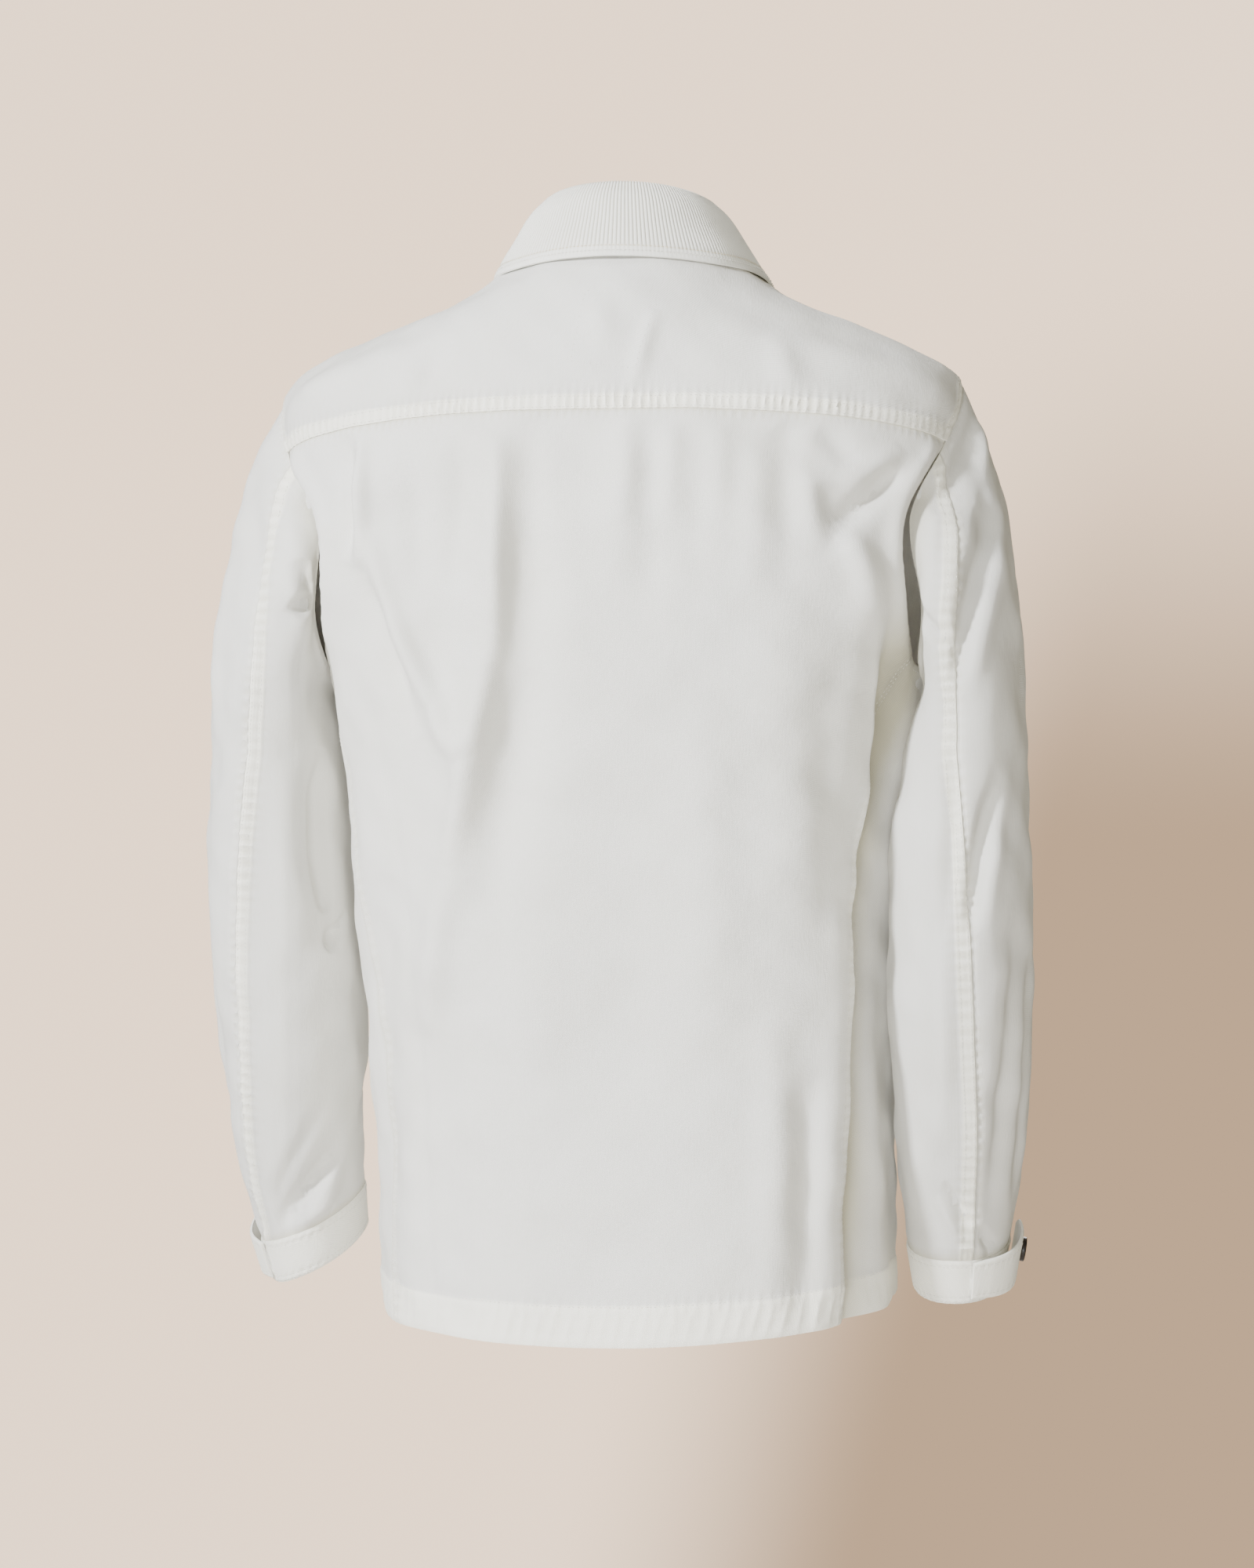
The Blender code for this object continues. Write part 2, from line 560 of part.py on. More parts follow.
def back_edge():
    """The back panel's outer edge: the armhole, then the side seam."""
    arm = [(*armhole_place(station), station)
           for station in stations(YOKE_END, BACK_SLEEVE_SEAM)]
    arm += [(*armhole_place(station), station)
            for station in stations(ALL_ROUND, SIDE_SEAM)[1:]]
    seam = [(float(read_table(SIDE_SEAM_LINE, down)[0]), down, None) for down in side_rows()]
    return arm + seam


def make_back():
    """The back panel, from the yoke seam to the hem."""
    edge = back_edge()
    arm_count = sum(1 for end in edge if end[2] is not None)
    middle = np.concatenate([np.linspace(YOKE_DOWN_CENTRE, UNDER_ARM_DOWN, arm_count),
                             middle_rows(UNDER_ARM_DOWN)])
    return torso_wall("back_panel", *back_grid(edge, middle))


def front_grid():
    """The grid of a front, as the wearer's left one, and its points on the armhole."""
    top_round, top_down = armhole_place(SHOULDER_SEAM)
    shoulder = [(top_round, down, None) for down in np.linspace(0.0, top_down, 5)[:-1]]
    arm = [(*armhole_place(station), station) for station in stations(SHOULDER_SEAM, SIDE_SEAM)]
    seam = [(float(read_table(SIDE_SEAM_LINE, down)[0]), down, None) for down in side_rows()]
    edge = shoulder + arm + seam
    above = len(shoulder) + len(arm)
    middle = np.concatenate([np.linspace(0.0, UNDER_ARM_DOWN, above),
                             middle_rows(UNDER_ARM_DOWN)])
    around, down = [], []
    for end, mid in zip(edge, middle):
        half_width = read_table(BODY_RINGS, mid)[0]
        lap = np.degrees(FRONT_OVERLAP / half_width)
        row = np.concatenate([np.linspace(end[0], 180.0 - lap, FRONT_COLUMNS + 1),
                              [180.0, 180.0 + lap]])
        share = (row - row[-1]) / (row[0] - row[-1])
        around.append(row)
        down.append(mid + (end[1] - mid) * share ** ROW_CURVE)
    on_seam = [(row, 0, end[2]) for row, end in enumerate(edge) if end[2] is not None]
    return np.array(around), np.array(down), on_seam


def make_front(side):
    """A front, from the shoulder seam to the hem and past the centre front."""
    around, down, on_seam = front_grid()
    sink = np.zeros_like(around)
    if side == "right":
        under_left = np.zeros(around.shape[1])
        under_left[-3:] = 1.0
        sink = (wall_depth(down) + FRONT_STEP) * under_left
    return torso_wall("front_" + side, around * SLEEVES[side][0], down, on_seam, sink)


# ---------------------------------------------------------------- front fastening
def make_button_stand():
    """The doubled strip down the left front, made from that front's own points."""
    around, down, _ = front_grid()
    around, down = around[:, -3:], down[:, -3:]
    normal = body_normal(around, down)
    inner = body(around, down) + normal * SEAM_GAP
    return add_wall("button_stand", inner + normal * WALL, inner)


# A button's section from the middle of its back to the middle of its face, in parts of
# its radius and thickness: the rim stands up round a dished face.
ButtonPoint = namedtuple("ButtonPoint", "radius height")
BUTTON_SECTION = (
    ButtonPoint(0.00, 0.00),
    ButtonPoint(0.90, 0.00),
    ButtonPoint(1.00, 0.30),
    ButtonPoint(1.00, 0.72),
    ButtonPoint(0.90, 1.00),
    ButtonPoint(0.68, 0.92),
    ButtonPoint(0.60, 0.62),
    ButtonPoint(0.00, 0.62),
)
BUTTON_SIDES = 16


def add_button(name, place, normal):
    """A round button with a raised rim, its back flat, standing off by the seam gap."""
    profile, sides = BUTTON_SECTION, BUTTON_SIDES
    normal = unit(normal)
    across = unit(np.cross(normal, np.array([0.0, 0.0, 1.0])))
    upward = np.cross(across, normal)
    points = [place + normal * profile[0][1] * BUTTON_THICKNESS]
    for radius, height in profile[1:-1]:
        for turn in np.arange(sides) * 2 * np.pi / sides:
            points.append(place + normal * height * BUTTON_THICKNESS
                          + (across * np.cos(turn) + upward * np.sin(turn)) * radius * BUTTON_RADIUS)
    points.append(place + normal * profile[-1][1] * BUTTON_THICKNESS)
    faces = []
    rings = len(profile) - 2
    for turn in range(sides):
        after = (turn + 1) % sides
        faces.append((0, 1 + turn, 1 + after))
        for ring in range(rings - 1):
            a, b = 1 + ring * sides + turn, 1 + ring * sides + after
            faces.append((a, a + sides, b + sides, b))
        top = 1 + (rings - 1) * sides
        faces.append((top + turn, len(points) - 1, top + after))
    return add_object(name, points, faces, BUTTON_COLOUR, 0.35)


def make_front_buttons():
    """The buttons down the centre front."""
    downs = np.linspace(0.0, 1.0, 401)
    centre_line = body(np.full(401, 180.0), downs)
    for number, height in enumerate(FRONT_BUTTON_HEIGHTS, start=1):
        down = np.array(downs[np.abs(centre_line[:, 2] - height).argmin()])
        around = np.array(180.0)
        normal = body_normal(around, down)
        place = body(around, down) + normal * (WALL + 3 * SEAM_GAP)
        add_button(f"front_button_{number}", place, normal)


# ---------------------------------------------------------------- sleeves and cuffs
def cuff_start(side):
    """Way along a sleeve where its cuff begins."""
    table = SLEEVES[side][1]
    return 2.0 - CUFF_HEIGHT / (table[0].z - table[-1].z)


def sleeve_places(side, columns, along):
    """Ways round for a sleeve's columns, which follow the two sleeve seams."""
    table = SLEEVES[side][1]
    z = table[0].z + (table[-1].z - table[0].z) * np.clip(along - 1.0, 0.0, 1.0)
    seam = (read_table(table, z)[..., -1] - BACK_SLEEVE_SEAM) * ease(along / SEAM_SETTLED)
    share = np.where(
        columns <= FRONT_SLEEVE_SEAM,
        (FRONT_SLEEVE_SEAM - columns) / (FRONT_SLEEVE_SEAM - BACK_SLEEVE_SEAM),
        (columns - FRONT_SLEEVE_SEAM) / (ALL_ROUND - FRONT_SLEEVE_SEAM))
    return columns + seam[:, None] * share


def make_sleeve_panel(side, name, start, end):
    """One panel of a sleeve, between its two seams."""
    columns = stations(start, end)
    head = np.linspace(0.0, 1.0, CAP_ROWS + 1) ** 1.15
    along = np.concatenate([head, spread(1.0, cuff_start(side), SLEEVE_ROWS)])
    around = sleeve_places(side, columns, along)
    along = np.repeat(along[:, None], len(columns), axis=1)
    outer = sleeve(side, around, along)
    normal = sleeve_normal(side, around, along)
    normal[0] = armhole_mitre(side, columns)
    return add_wall(name, outer, outer - normal * WALL)


def make_cuff(side):
    """The cuff band, a ring a little outside the sleeve's surface."""
    columns = stations(BACK_SLEEVE_SEAM, ALL_ROUND)[:-1]
    along = np.linspace(cuff_start(side), 2.0, 4)
    around = sleeve_places(side, columns, along)
    along = np.repeat(along[:, None], len(columns), axis=1)
    normal = sleeve_normal(side, around, along)
    outer = sleeve(side, around, along) + normal * CUFF_PROUD
    return add_wall("cuff_" + side, outer, outer - normal * CUFF_WALL, closed=True)


TAB_BOW = 0.0006              # how far the tab bows out under its button
TabColumn = namedtuple("TabColumn", "turn off drop")
TAB_COLUMNS = (               # degrees past the back seam, clearance, drop of the top edge
    TabColumn(0.0, 0.0004, 0.0100),
    TabColumn(10.0, 0.0016, 0.0085),
    TabColumn(22.0, 0.0044, 0.0070),
    TabColumn(36.0, 0.0066, 0.0050),
    TabColumn(50.0, 0.0068, 0.0025),
    TabColumn(64.0, 0.0058, 0.0005),
    TabColumn(80.0, 0.0046, 0.0000),
    TabColumn(96.0, 0.0042, 0.0000),
)


def tab_grid(side, extra):
    """Places over a cuff's tab, a distance out from its under face."""
    table = SLEEVES[side][1]
    per_metre = 1.0 / (table[0].z - table[-1].z)
    seam = table[-1].seam
    turns = np.array([seam + column.turn for column in TAB_COLUMNS])
    off = np.array([column.off + CUFF_PROUD + extra for column in TAB_COLUMNS])
    drop = np.array([column.drop for column in TAB_COLUMNS])
    heights = np.linspace(1.0, 0.0, 4)[:, None]
    above_hem = 0.004 + (TAB_HEIGHT - drop - 0.004) * heights
    around = np.repeat(turns[None, :], 4, axis=0)
    along = 2.0 - above_hem * per_metre
    return sleeve(side, around, along) + sleeve_normal(side, around, along) * off[:, None]


def make_tab(side):
    """The cuff tab, sewn at the back seam and standing off the cuff, with its button."""
    inner, outer = tab_grid(side, 0.0), tab_grid(side, TAB_WALL)
    add_wall("cuff_tab_" + side, outer, inner)
    face = (outer[1, -2] + outer[2, -2]) / 2
    normal = unit(np.cross(outer[2, -3] - outer[1, -1], outer[2, -1] - outer[1, -3]))
    normal = normal * np.sign(np.dot(normal, outer[1, -2] - inner[1, -2]))
    add_button("cuff_button_" + side, face + normal * (SEAM_GAP + TAB_BOW), normal)


# ---------------------------------------------------------------- collar
def collar_line(around):
    """The collar's middle line at each way round: points by six places along it."""
    seam = body(around, np.zeros_like(around))
    outward = body_normal(around, np.zeros_like(around))
    outward[..., 2] = 0.0
    outward = unit(outward)
    to_front = ease((np.abs(around) - 95.0) / 75.0)
    stand = STAND_HEIGHT_BACK + (STAND_HEIGHT_FRONT - STAND_HEIGHT_BACK) * to_front
    upward = np.array([0.0, 0.0, 1.0])

    lean = SIDE_LEAN * np.sin(np.radians(around)) ** 2

    def place(line):
        out = line.out - lean * max(line.up, 0.0)
        return seam + outward * out[..., None] + upward * (stand * line.up)[..., None]

    reach = read_table(COLLAR_REACH, np.abs(around))[..., 0]
    lift = FALL_LIFT + FRONT_FALL_LIFT * ease((np.abs(around) - 70.0) / 60.0)
    edge = body(around, reach) + body_normal(around, reach) * (lift + COLLAR_WALL / 2)[..., None]
    turn = place(COLLAR_TURN)
    fall = turn * 0.45 + edge * 0.55 + outward * FALL_BOW
    return np.stack([place(COLLAR_FOOT), place(COLLAR_STAND), place(COLLAR_ROLL), turn, fall,
                     edge], axis=0)


def collar_faces_out(line):
    """Unit normals of the collar's middle line, on its corduroy side."""
    along = np.gradient(line, axis=0)
    across = np.gradient(line, axis=1)
    return unit(np.cross(across, along))


def make_collar():
    """The collar: corduroy ribs on its outer points over a plain under side."""
    ribs = np.linspace(-COLLAR_END, COLLAR_END, 2 * WALE_COUNT + 1)
    plain = np.linspace(-COLLAR_END, COLLAR_END, COLLAR_PLAIN_COLUMNS + 1)
    rib_line, plain_line = collar_line(ribs), collar_line(plain)
    rib_out, plain_out = collar_faces_out(rib_line), collar_faces_out(plain_line)
    raised = COLLAR_WALL / 2 - WALE_HEIGHT * (np.arange(len(ribs)) % 2)
    corduroy = rib_line[1:] + rib_out[1:] * raised[:, None]
    foot = plain_line[:1] + plain_out[:1] * (COLLAR_WALL / 2)
    under = plain_line - plain_out * (COLLAR_WALL / 2)
    rib_columns, plain_columns = len(ribs), len(plain)
    points = np.concatenate([corduroy.reshape(-1, 3), foot.reshape(-1, 3), under.reshape(-1, 3)])
    rib_rows, under_rows = corduroy.shape[0], under.shape[0]
    foot_start = rib_rows * rib_columns
    under_start = foot_start + plain_columns
    faces = []
    for row in range(rib_rows - 1):
        for column in range(rib_columns - 1):
            a = row * rib_columns + column
            faces.append((a, a + 1, a + 1 + rib_columns, a + rib_columns))
    for row in range(under_rows - 1):
        for column in range(plain_columns - 1):
            a = under_start + row * plain_columns + column
            faces.append((a + plain_columns, a + 1 + plain_columns, a + 1, a))
    for column in range(plain_columns - 1):
        a, b = foot_start + column, under_start + column
        faces.append((b, b + 1, a + 1, a))
    faces += fan_strip(foot_start, plain_columns, 0, rib_columns)
    low_rib = (rib_rows - 1) * rib_columns
    low_under = under_start + (under_rows - 1) * plain_columns
    faces += [tuple(reversed(face)) for face in
              fan_strip(low_under, plain_columns, low_rib, rib_columns)]
    for end_rib, end_plain in ((0, 0), (rib_columns - 1, plain_columns - 1)):
        outline = [foot_start + end_plain]
        outline += [row * rib_columns + end_rib for row in range(rib_rows)]
        beneath = [under_start + row * plain_columns + end_plain for row in range(under_rows)]
        cap = [(outline[i], outline[i + 1], beneath[i + 1], beneath[i])
               for i in range(under_rows - 1)]
        faces += [tuple(reversed(face)) for face in cap] if end_rib else cap
    return add_object("collar", points, faces, CORD_COLOUR, 0.95)


def fan_strip(coarse_start, coarse_count, fine_start, fine_count):
    """Triangles between a row of few points and a row of many along the same line."""
    faces = []
    per = (fine_count - 1) / (coarse_count - 1)
    reached = 0
    for column in range(fine_count - 1):
        target = int(round(column / per))
        if target > reached:
            faces.append((coarse_start + reached, coarse_start + target, fine_start + column))
            reached = target
        faces.append((fine_start + column, coarse_start + reached, fine_start + column + 1))
    if reached < coarse_count - 1:
        faces.append((coarse_start + reached, coarse_start + coarse_count - 1,
                      fine_start + fine_count - 1))
    return faces


# ---------------------------------------------------------------- the jacket
def clear_scene():
    """Remove whatever the scene holds."""
    for item in list(bpy.data.objects):
        bpy.data.objects.remove(item, do_unlink=True)


def main():
    """Make every piece."""
    clear_scene()
    make_back()
    make_yoke()
    for side in SLEEVES:
        make_front(side)
        make_sleeve_panel(side, "sleeve_upper_" + side, BACK_SLEEVE_SEAM, FRONT_SLEEVE_SEAM)
        make_sleeve_panel(side, "sleeve_under_" + side, FRONT_SLEEVE_SEAM, ALL_ROUND)
        make_cuff(side)
        make_tab(side)
    make_button_stand()
    make_front_buttons()
    make_collar()


main()
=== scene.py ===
# %% [markdown]
# # A cotton work jacket with a corduroy collar
#
# The jacket is off-white cotton twill, seen from behind and filled out as if it were worn.
# Its shape was settled first, as plain closed solids, one for each piece that a maker would
# cut. This lesson dresses those solids: each cloth piece is made again as a fine thin shell
# on the same surface, with the creases, lapped seams, puckers and stitches of the real one.

from collections import namedtuple
import json
import math

import bpy
import numpy as np
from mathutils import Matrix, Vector
from mathutils.bvhtree import BVHTree

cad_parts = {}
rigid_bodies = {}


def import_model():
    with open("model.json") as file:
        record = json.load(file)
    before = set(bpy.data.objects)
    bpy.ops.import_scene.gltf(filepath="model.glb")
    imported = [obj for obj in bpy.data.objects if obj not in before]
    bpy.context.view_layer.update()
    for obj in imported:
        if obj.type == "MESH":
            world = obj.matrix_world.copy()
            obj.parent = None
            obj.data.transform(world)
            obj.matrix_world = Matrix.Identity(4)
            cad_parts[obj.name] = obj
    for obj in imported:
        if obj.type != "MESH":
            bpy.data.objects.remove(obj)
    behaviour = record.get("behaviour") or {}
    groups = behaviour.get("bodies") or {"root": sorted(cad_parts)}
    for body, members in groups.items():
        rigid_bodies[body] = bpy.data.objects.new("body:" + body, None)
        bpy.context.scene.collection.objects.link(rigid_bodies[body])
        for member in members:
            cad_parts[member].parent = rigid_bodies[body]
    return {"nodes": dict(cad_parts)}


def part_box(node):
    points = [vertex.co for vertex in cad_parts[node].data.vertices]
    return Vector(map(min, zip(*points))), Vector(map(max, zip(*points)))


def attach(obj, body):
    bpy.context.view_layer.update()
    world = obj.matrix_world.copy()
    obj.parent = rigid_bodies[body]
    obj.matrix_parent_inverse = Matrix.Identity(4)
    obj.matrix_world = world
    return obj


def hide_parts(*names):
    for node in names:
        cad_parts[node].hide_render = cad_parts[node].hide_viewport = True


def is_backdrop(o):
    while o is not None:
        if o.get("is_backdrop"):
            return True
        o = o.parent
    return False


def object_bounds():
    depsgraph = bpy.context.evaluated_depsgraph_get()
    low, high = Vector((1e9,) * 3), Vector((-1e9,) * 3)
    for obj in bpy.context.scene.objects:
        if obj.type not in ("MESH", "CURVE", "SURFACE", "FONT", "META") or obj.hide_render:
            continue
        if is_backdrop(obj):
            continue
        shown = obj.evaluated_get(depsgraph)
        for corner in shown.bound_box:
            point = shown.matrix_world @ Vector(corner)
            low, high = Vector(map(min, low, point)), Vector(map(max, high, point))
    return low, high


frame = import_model()
cad_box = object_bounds()
print("nodes in the frame:", len(frame["nodes"]))
print("size in millimetres:", [round((high - low) * 1000) for low, high in zip(*cad_box)])

# %% [markdown]
# ## Camera and lights
#
# The photograph is taken from behind and a little to the wearer's right, level with the
# waist. A long lens keeps both sleeves nearly parallel. The main light is a small soft box
# high at the camera's left. Weaker, wider ones fill in from below, above, the right and the
# front, and a warm surround keeps the far side's shadows olive grey instead of black.

# %% Camera
def add_object(name, data):
    """A new object in the scene that shows this data."""
    made = bpy.data.objects.new(name, data)
    bpy.context.scene.collection.objects.link(made)
    return made


AZIMUTH = math.radians(190.0)          # 180 is straight behind the jacket
DISTANCE = 2.5
TARGET = Vector((0.0, 0.0, -0.368))
SENSOR_HEIGHT = 36.0                   # in millimetres, like the focal length
FOCAL_LENGTH = 81.5
FRAME_SHIFT = -0.0015
towards_camera = Vector((math.sin(AZIMUTH), -math.cos(AZIMUTH), 0.0))
camera_right = Vector((math.cos(AZIMUTH), math.sin(AZIMUTH), 0.0))
camera_data = bpy.data.cameras.new("camera")
camera_data.sensor_fit = "VERTICAL"
camera_data.sensor_height = SENSOR_HEIGHT
camera_data.lens = FOCAL_LENGTH
camera_data.shift_x = FRAME_SHIFT
camera = add_object("camera", camera_data)
camera.location = TARGET + towards_camera * DISTANCE
camera.rotation_euler = (-towards_camera).to_track_quat("-Z", "Y").to_euler()
bpy.context.scene.camera = camera
print("camera at", [round(value, 2) for value in camera.location])

# %% Lights
SoftLight = namedtuple("SoftLight", "name right up near wide power colour")
SOFT_LIGHTS = (
    SoftLight("key", -1.85, 1.1, 1.65, 0.32, 158.0, (0.965, 0.985, 1.04)),
    SoftLight("low_fill", -0.25, -0.45, 2.2, 1.0, 56.0, (0.985, 0.99, 1.0)),
    SoftLight("right_fill", 2.3, 0.2, 1.3, 1.2, 11.0, (1.0, 0.95, 0.86)),
    SoftLight("top", -0.5, 2.3, 0.3, 1.0, 30.0, (0.99, 0.99, 1.0)),
    SoftLight("front_fill", 0.35, 0.7, -2.5, 1.6, 70.0, (0.99, 0.98, 0.97)),
)


def add_soft_light(light):
    """A square soft box, placed to the camera's right, up and nearer, facing the jacket."""
    data = bpy.data.lights.new(light.name, "AREA")
    data.size = light.wide
    data.energy = light.power
    data.color = light.colour
    lamp = add_object(light.name, data)
    lamp.location = (TARGET + camera_right * light.right + towards_camera * light.near
                     + Vector((0.0, 0.0, light.up)))
    lamp.rotation_euler = (TARGET - lamp.location).to_track_quat("-Z", "Y").to_euler()


for light in SOFT_LIGHTS:
    add_soft_light(light)
print("soft lights:", len(SOFT_LIGHTS))

# %% [markdown]
# ## Shader maths as expressions
#
# A cloth material is mostly arithmetic on a few patterns. Writing that with raw nodes is
# long, so a small class wraps a socket: adding or multiplying two wrapped sockets makes the
# Math node, and one method makes any other node.

# %% Wrapped sockets
class Wire:
    """A node socket that can be added, subtracted, multiplied and divided."""

    def __init__(self, tree, socket):
        self.tree, self.socket = tree, socket

    def node(self, kind, settings=None, **inputs):
        """Make a node of a kind, set it up and link or set its inputs by name."""
        made = self.tree.nodes.new(kind)
        for name, value in (settings or {}).items():
            setattr(made, name, value)
        for name, value in inputs.items():
            self.feed(made.inputs[int(name[1:]) if name[1:].isdigit() else name], value)
        return made

    def feed(self, slot, value):
        """Link a wire to an input, or set it to a plain value."""
        if isinstance(value, Wire):
            self.tree.links.new(value.socket, slot)
        else:
            slot.default_value = value

    def math(self, operation, other, swap=False):
        """A Math node on this value and another one, or on both the other way round."""
        first, second = (other, self) if swap else (self, other)
        made = self.node("ShaderNodeMath", {"operation": operation}, i0=first, i1=second)
        return Wire(self.tree, made.outputs[0])

    def __add__(self, other):
        return self.math("ADD", other)

    def __sub__(self, other):
        return self.math("SUBTRACT", other)

    def __rsub__(self, other):
        return self.math("SUBTRACT", other, swap=True)

    def __mul__(self, other):
        return self.math("MULTIPLY", other)

    def step(self, low, high):
        """0 below low, 1 above high and a smooth step between."""
        made = self.node("ShaderNodeMapRange", {"interpolation_type": "SMOOTHSTEP"},
                         i0=self, i1=low, i2=high, i3=0.0, i4=1.0)
        return Wire(self.tree, made.outputs[0])

    def colours(self, first, second):
        """A mix of two colours by this value."""
        made = self.node("ShaderNodeMix", {"data_type": "RGBA"}, i0=self)
        for slot, colour in ((made.inputs[6], first), (made.inputs[7], second)):
            self.feed(slot, colour if isinstance(colour, Wire) else (*colour, 1.0))
        return Wire(self.tree, made.outputs[2])

    def into(self, shader, name):
        """Link this value to a shader's input."""
        self.tree.links.new(self.socket, shader.inputs[name])


SHEEN_ROUGHNESS = 0.55        # the short nap that cloth and thread have
SPECULAR = 0.28


def new_material(name, roughness, sheen=0.0, sheen_tint=(1.0, 1.0, 1.0)):
    """A material with its shader, and a wire on its Object coordinates to start from."""
    material = bpy.data.materials.new(name)
    material.use_nodes = True
    tree = material.node_tree
    shader = tree.nodes["Principled BSDF"]
    shader.inputs["Roughness"].default_value = roughness
    shader.inputs["Sheen Weight"].default_value = sheen
    shader.inputs["Sheen Roughness"].default_value = SHEEN_ROUGHNESS
    shader.inputs["Sheen Tint"].default_value = (*sheen_tint, 1.0)
    shader.inputs["Specular IOR Level"].default_value = SPECULAR
    start = Wire(tree, tree.nodes.new("ShaderNodeTexCoord").outputs["Object"])
    return material, shader, start


def noise(start, scale, detail=2.0, vector=None):
    """A cloudy pattern from 0 to 1 at a number of clouds to the metre."""
    made = start.node("ShaderNodeTexNoise", None, Vector=vector or start, Scale=scale,
                      Detail=detail)
    return Wire(start.tree, made.outputs[0])


def painted(start, name):
    """A value that a shell's points carry, such as how worn the cloth is there."""
    made = start.node("ShaderNodeAttribute", {"attribute_name": name})
    return Wire(start.tree, made.outputs["Fac"])


def add_bump(shader, height, strength, distance):
    """Let a height pattern tilt a shader's normals."""
    made = height.node("ShaderNodeBump", None, Height=height, Strength=strength,
                       Distance=distance)
    height.tree.links.new(made.outputs[0], shader.inputs["Normal"])


print("shader helpers ready")

# %% [markdown]
# ## The wall behind
#
# The camera looks past the jacket at a warm lit wall, in soft shade to the lower right. The
# wall is painted on the world, so it throws no shadow and takes no room. A light path node
# keeps it out of the light on the jacket, which gets an even, darker surround instead.

# %% World
SURROUND = (0.195, 0.175, 0.108)       # what lights the jacket from all round
WALL_LIT = (2.30, 1.72, 1.24)
WALL_SHADE = (0.74, 0.50, 0.31)
SHADE_SLANT = 0.28                     # how far the shade's left edge leans
SHADE_ACROSS = (0.030, 0.125)          # where it sets in as the view turns right,
SHADE_DOWN = (-0.160, 0.020)           # and as it drops
world = bpy.data.worlds.new("studio")
world.use_nodes = True
sky = world.node_tree
direction = Wire(sky, sky.nodes.new("ShaderNodeTexCoord").outputs["Generated"])
camera_ray = Wire(sky, sky.nodes.new("ShaderNodeLightPath").outputs["Is Camera Ray"])


def soft_edge(axis, limits):
    """From 0 to 1 as the view swings along an axis, seen from the camera."""
    along = direction.node("ShaderNodeVectorMath", {"operation": "DOT_PRODUCT"}, i0=direction,
                           i1=tuple(axis))
    return Wire(sky, along.outputs["Value"]).step(*limits)


upward = Vector((0.0, 0.0, 1.0))
shade = soft_edge(camera_right - upward * SHADE_SLANT, SHADE_ACROSS)
shade = shade * soft_edge(-upward, SHADE_DOWN)
wall = shade.colours(WALL_LIT, WALL_SHADE)
camera_ray.colours(SURROUND, wall).into(sky.nodes["Background"], "Color")
bpy.context.scene.world = world
print("world:", world.name)

# %% [markdown]
# ## Cotton twill
#
# Twill shows fine slanted ribs where each thread passes over two others. They are less
# than a millimetre apart and follow each piece's own cut, so every shell carries a UV map in
# real metres. The cloth is washed, so it is faintly mottled and a little creamier where it is
# doubled at seams and hems. Painted shade darkens it in pucker troughs, tucks and recesses.

# %% Twill
TWILL_WHITE = (0.775, 0.768, 0.735)
TWILL_CREAM = (0.975, 0.955, 0.835)
# The dusty colour is the cloth's own darker tone, and also the colour of its painted shade.
TWILL_DUSTY_AND_SHADE = (0.560, 0.530, 0.395)
TWILL_PITCH = 0.00085
WAVE_TO_METRES = 0.31416      # a wave texture of this scale has one wave to the metre
RIB_SLANT = math.radians(63.0)
SLUB_DRAWN = (900.0, 130.0, 1.0)       # thick and thin places are long along the thread
MOTTLE_SHARE = 0.11           # how far each of these takes the white towards dusty
RIB_SHARE = 0.12
SLUB_SHARE = 0.20
# This one mixes in painted shade, from the shells' painted shade attribute.
PAINTED_SHADE_SHARE = 0.62
DOUBLED_SHARE = 0.80          # how far doubled cloth goes towards cream
SPECK_COLOUR = (0.05, 0.04, 0.03)
SPECKS = ((0.038, 0.075, -0.053), (0.021, 0.112, -0.120), (-0.029, 0.134, -0.589),
          (0.124, 0.118, -0.402), (-0.088, -0.118, -0.352))


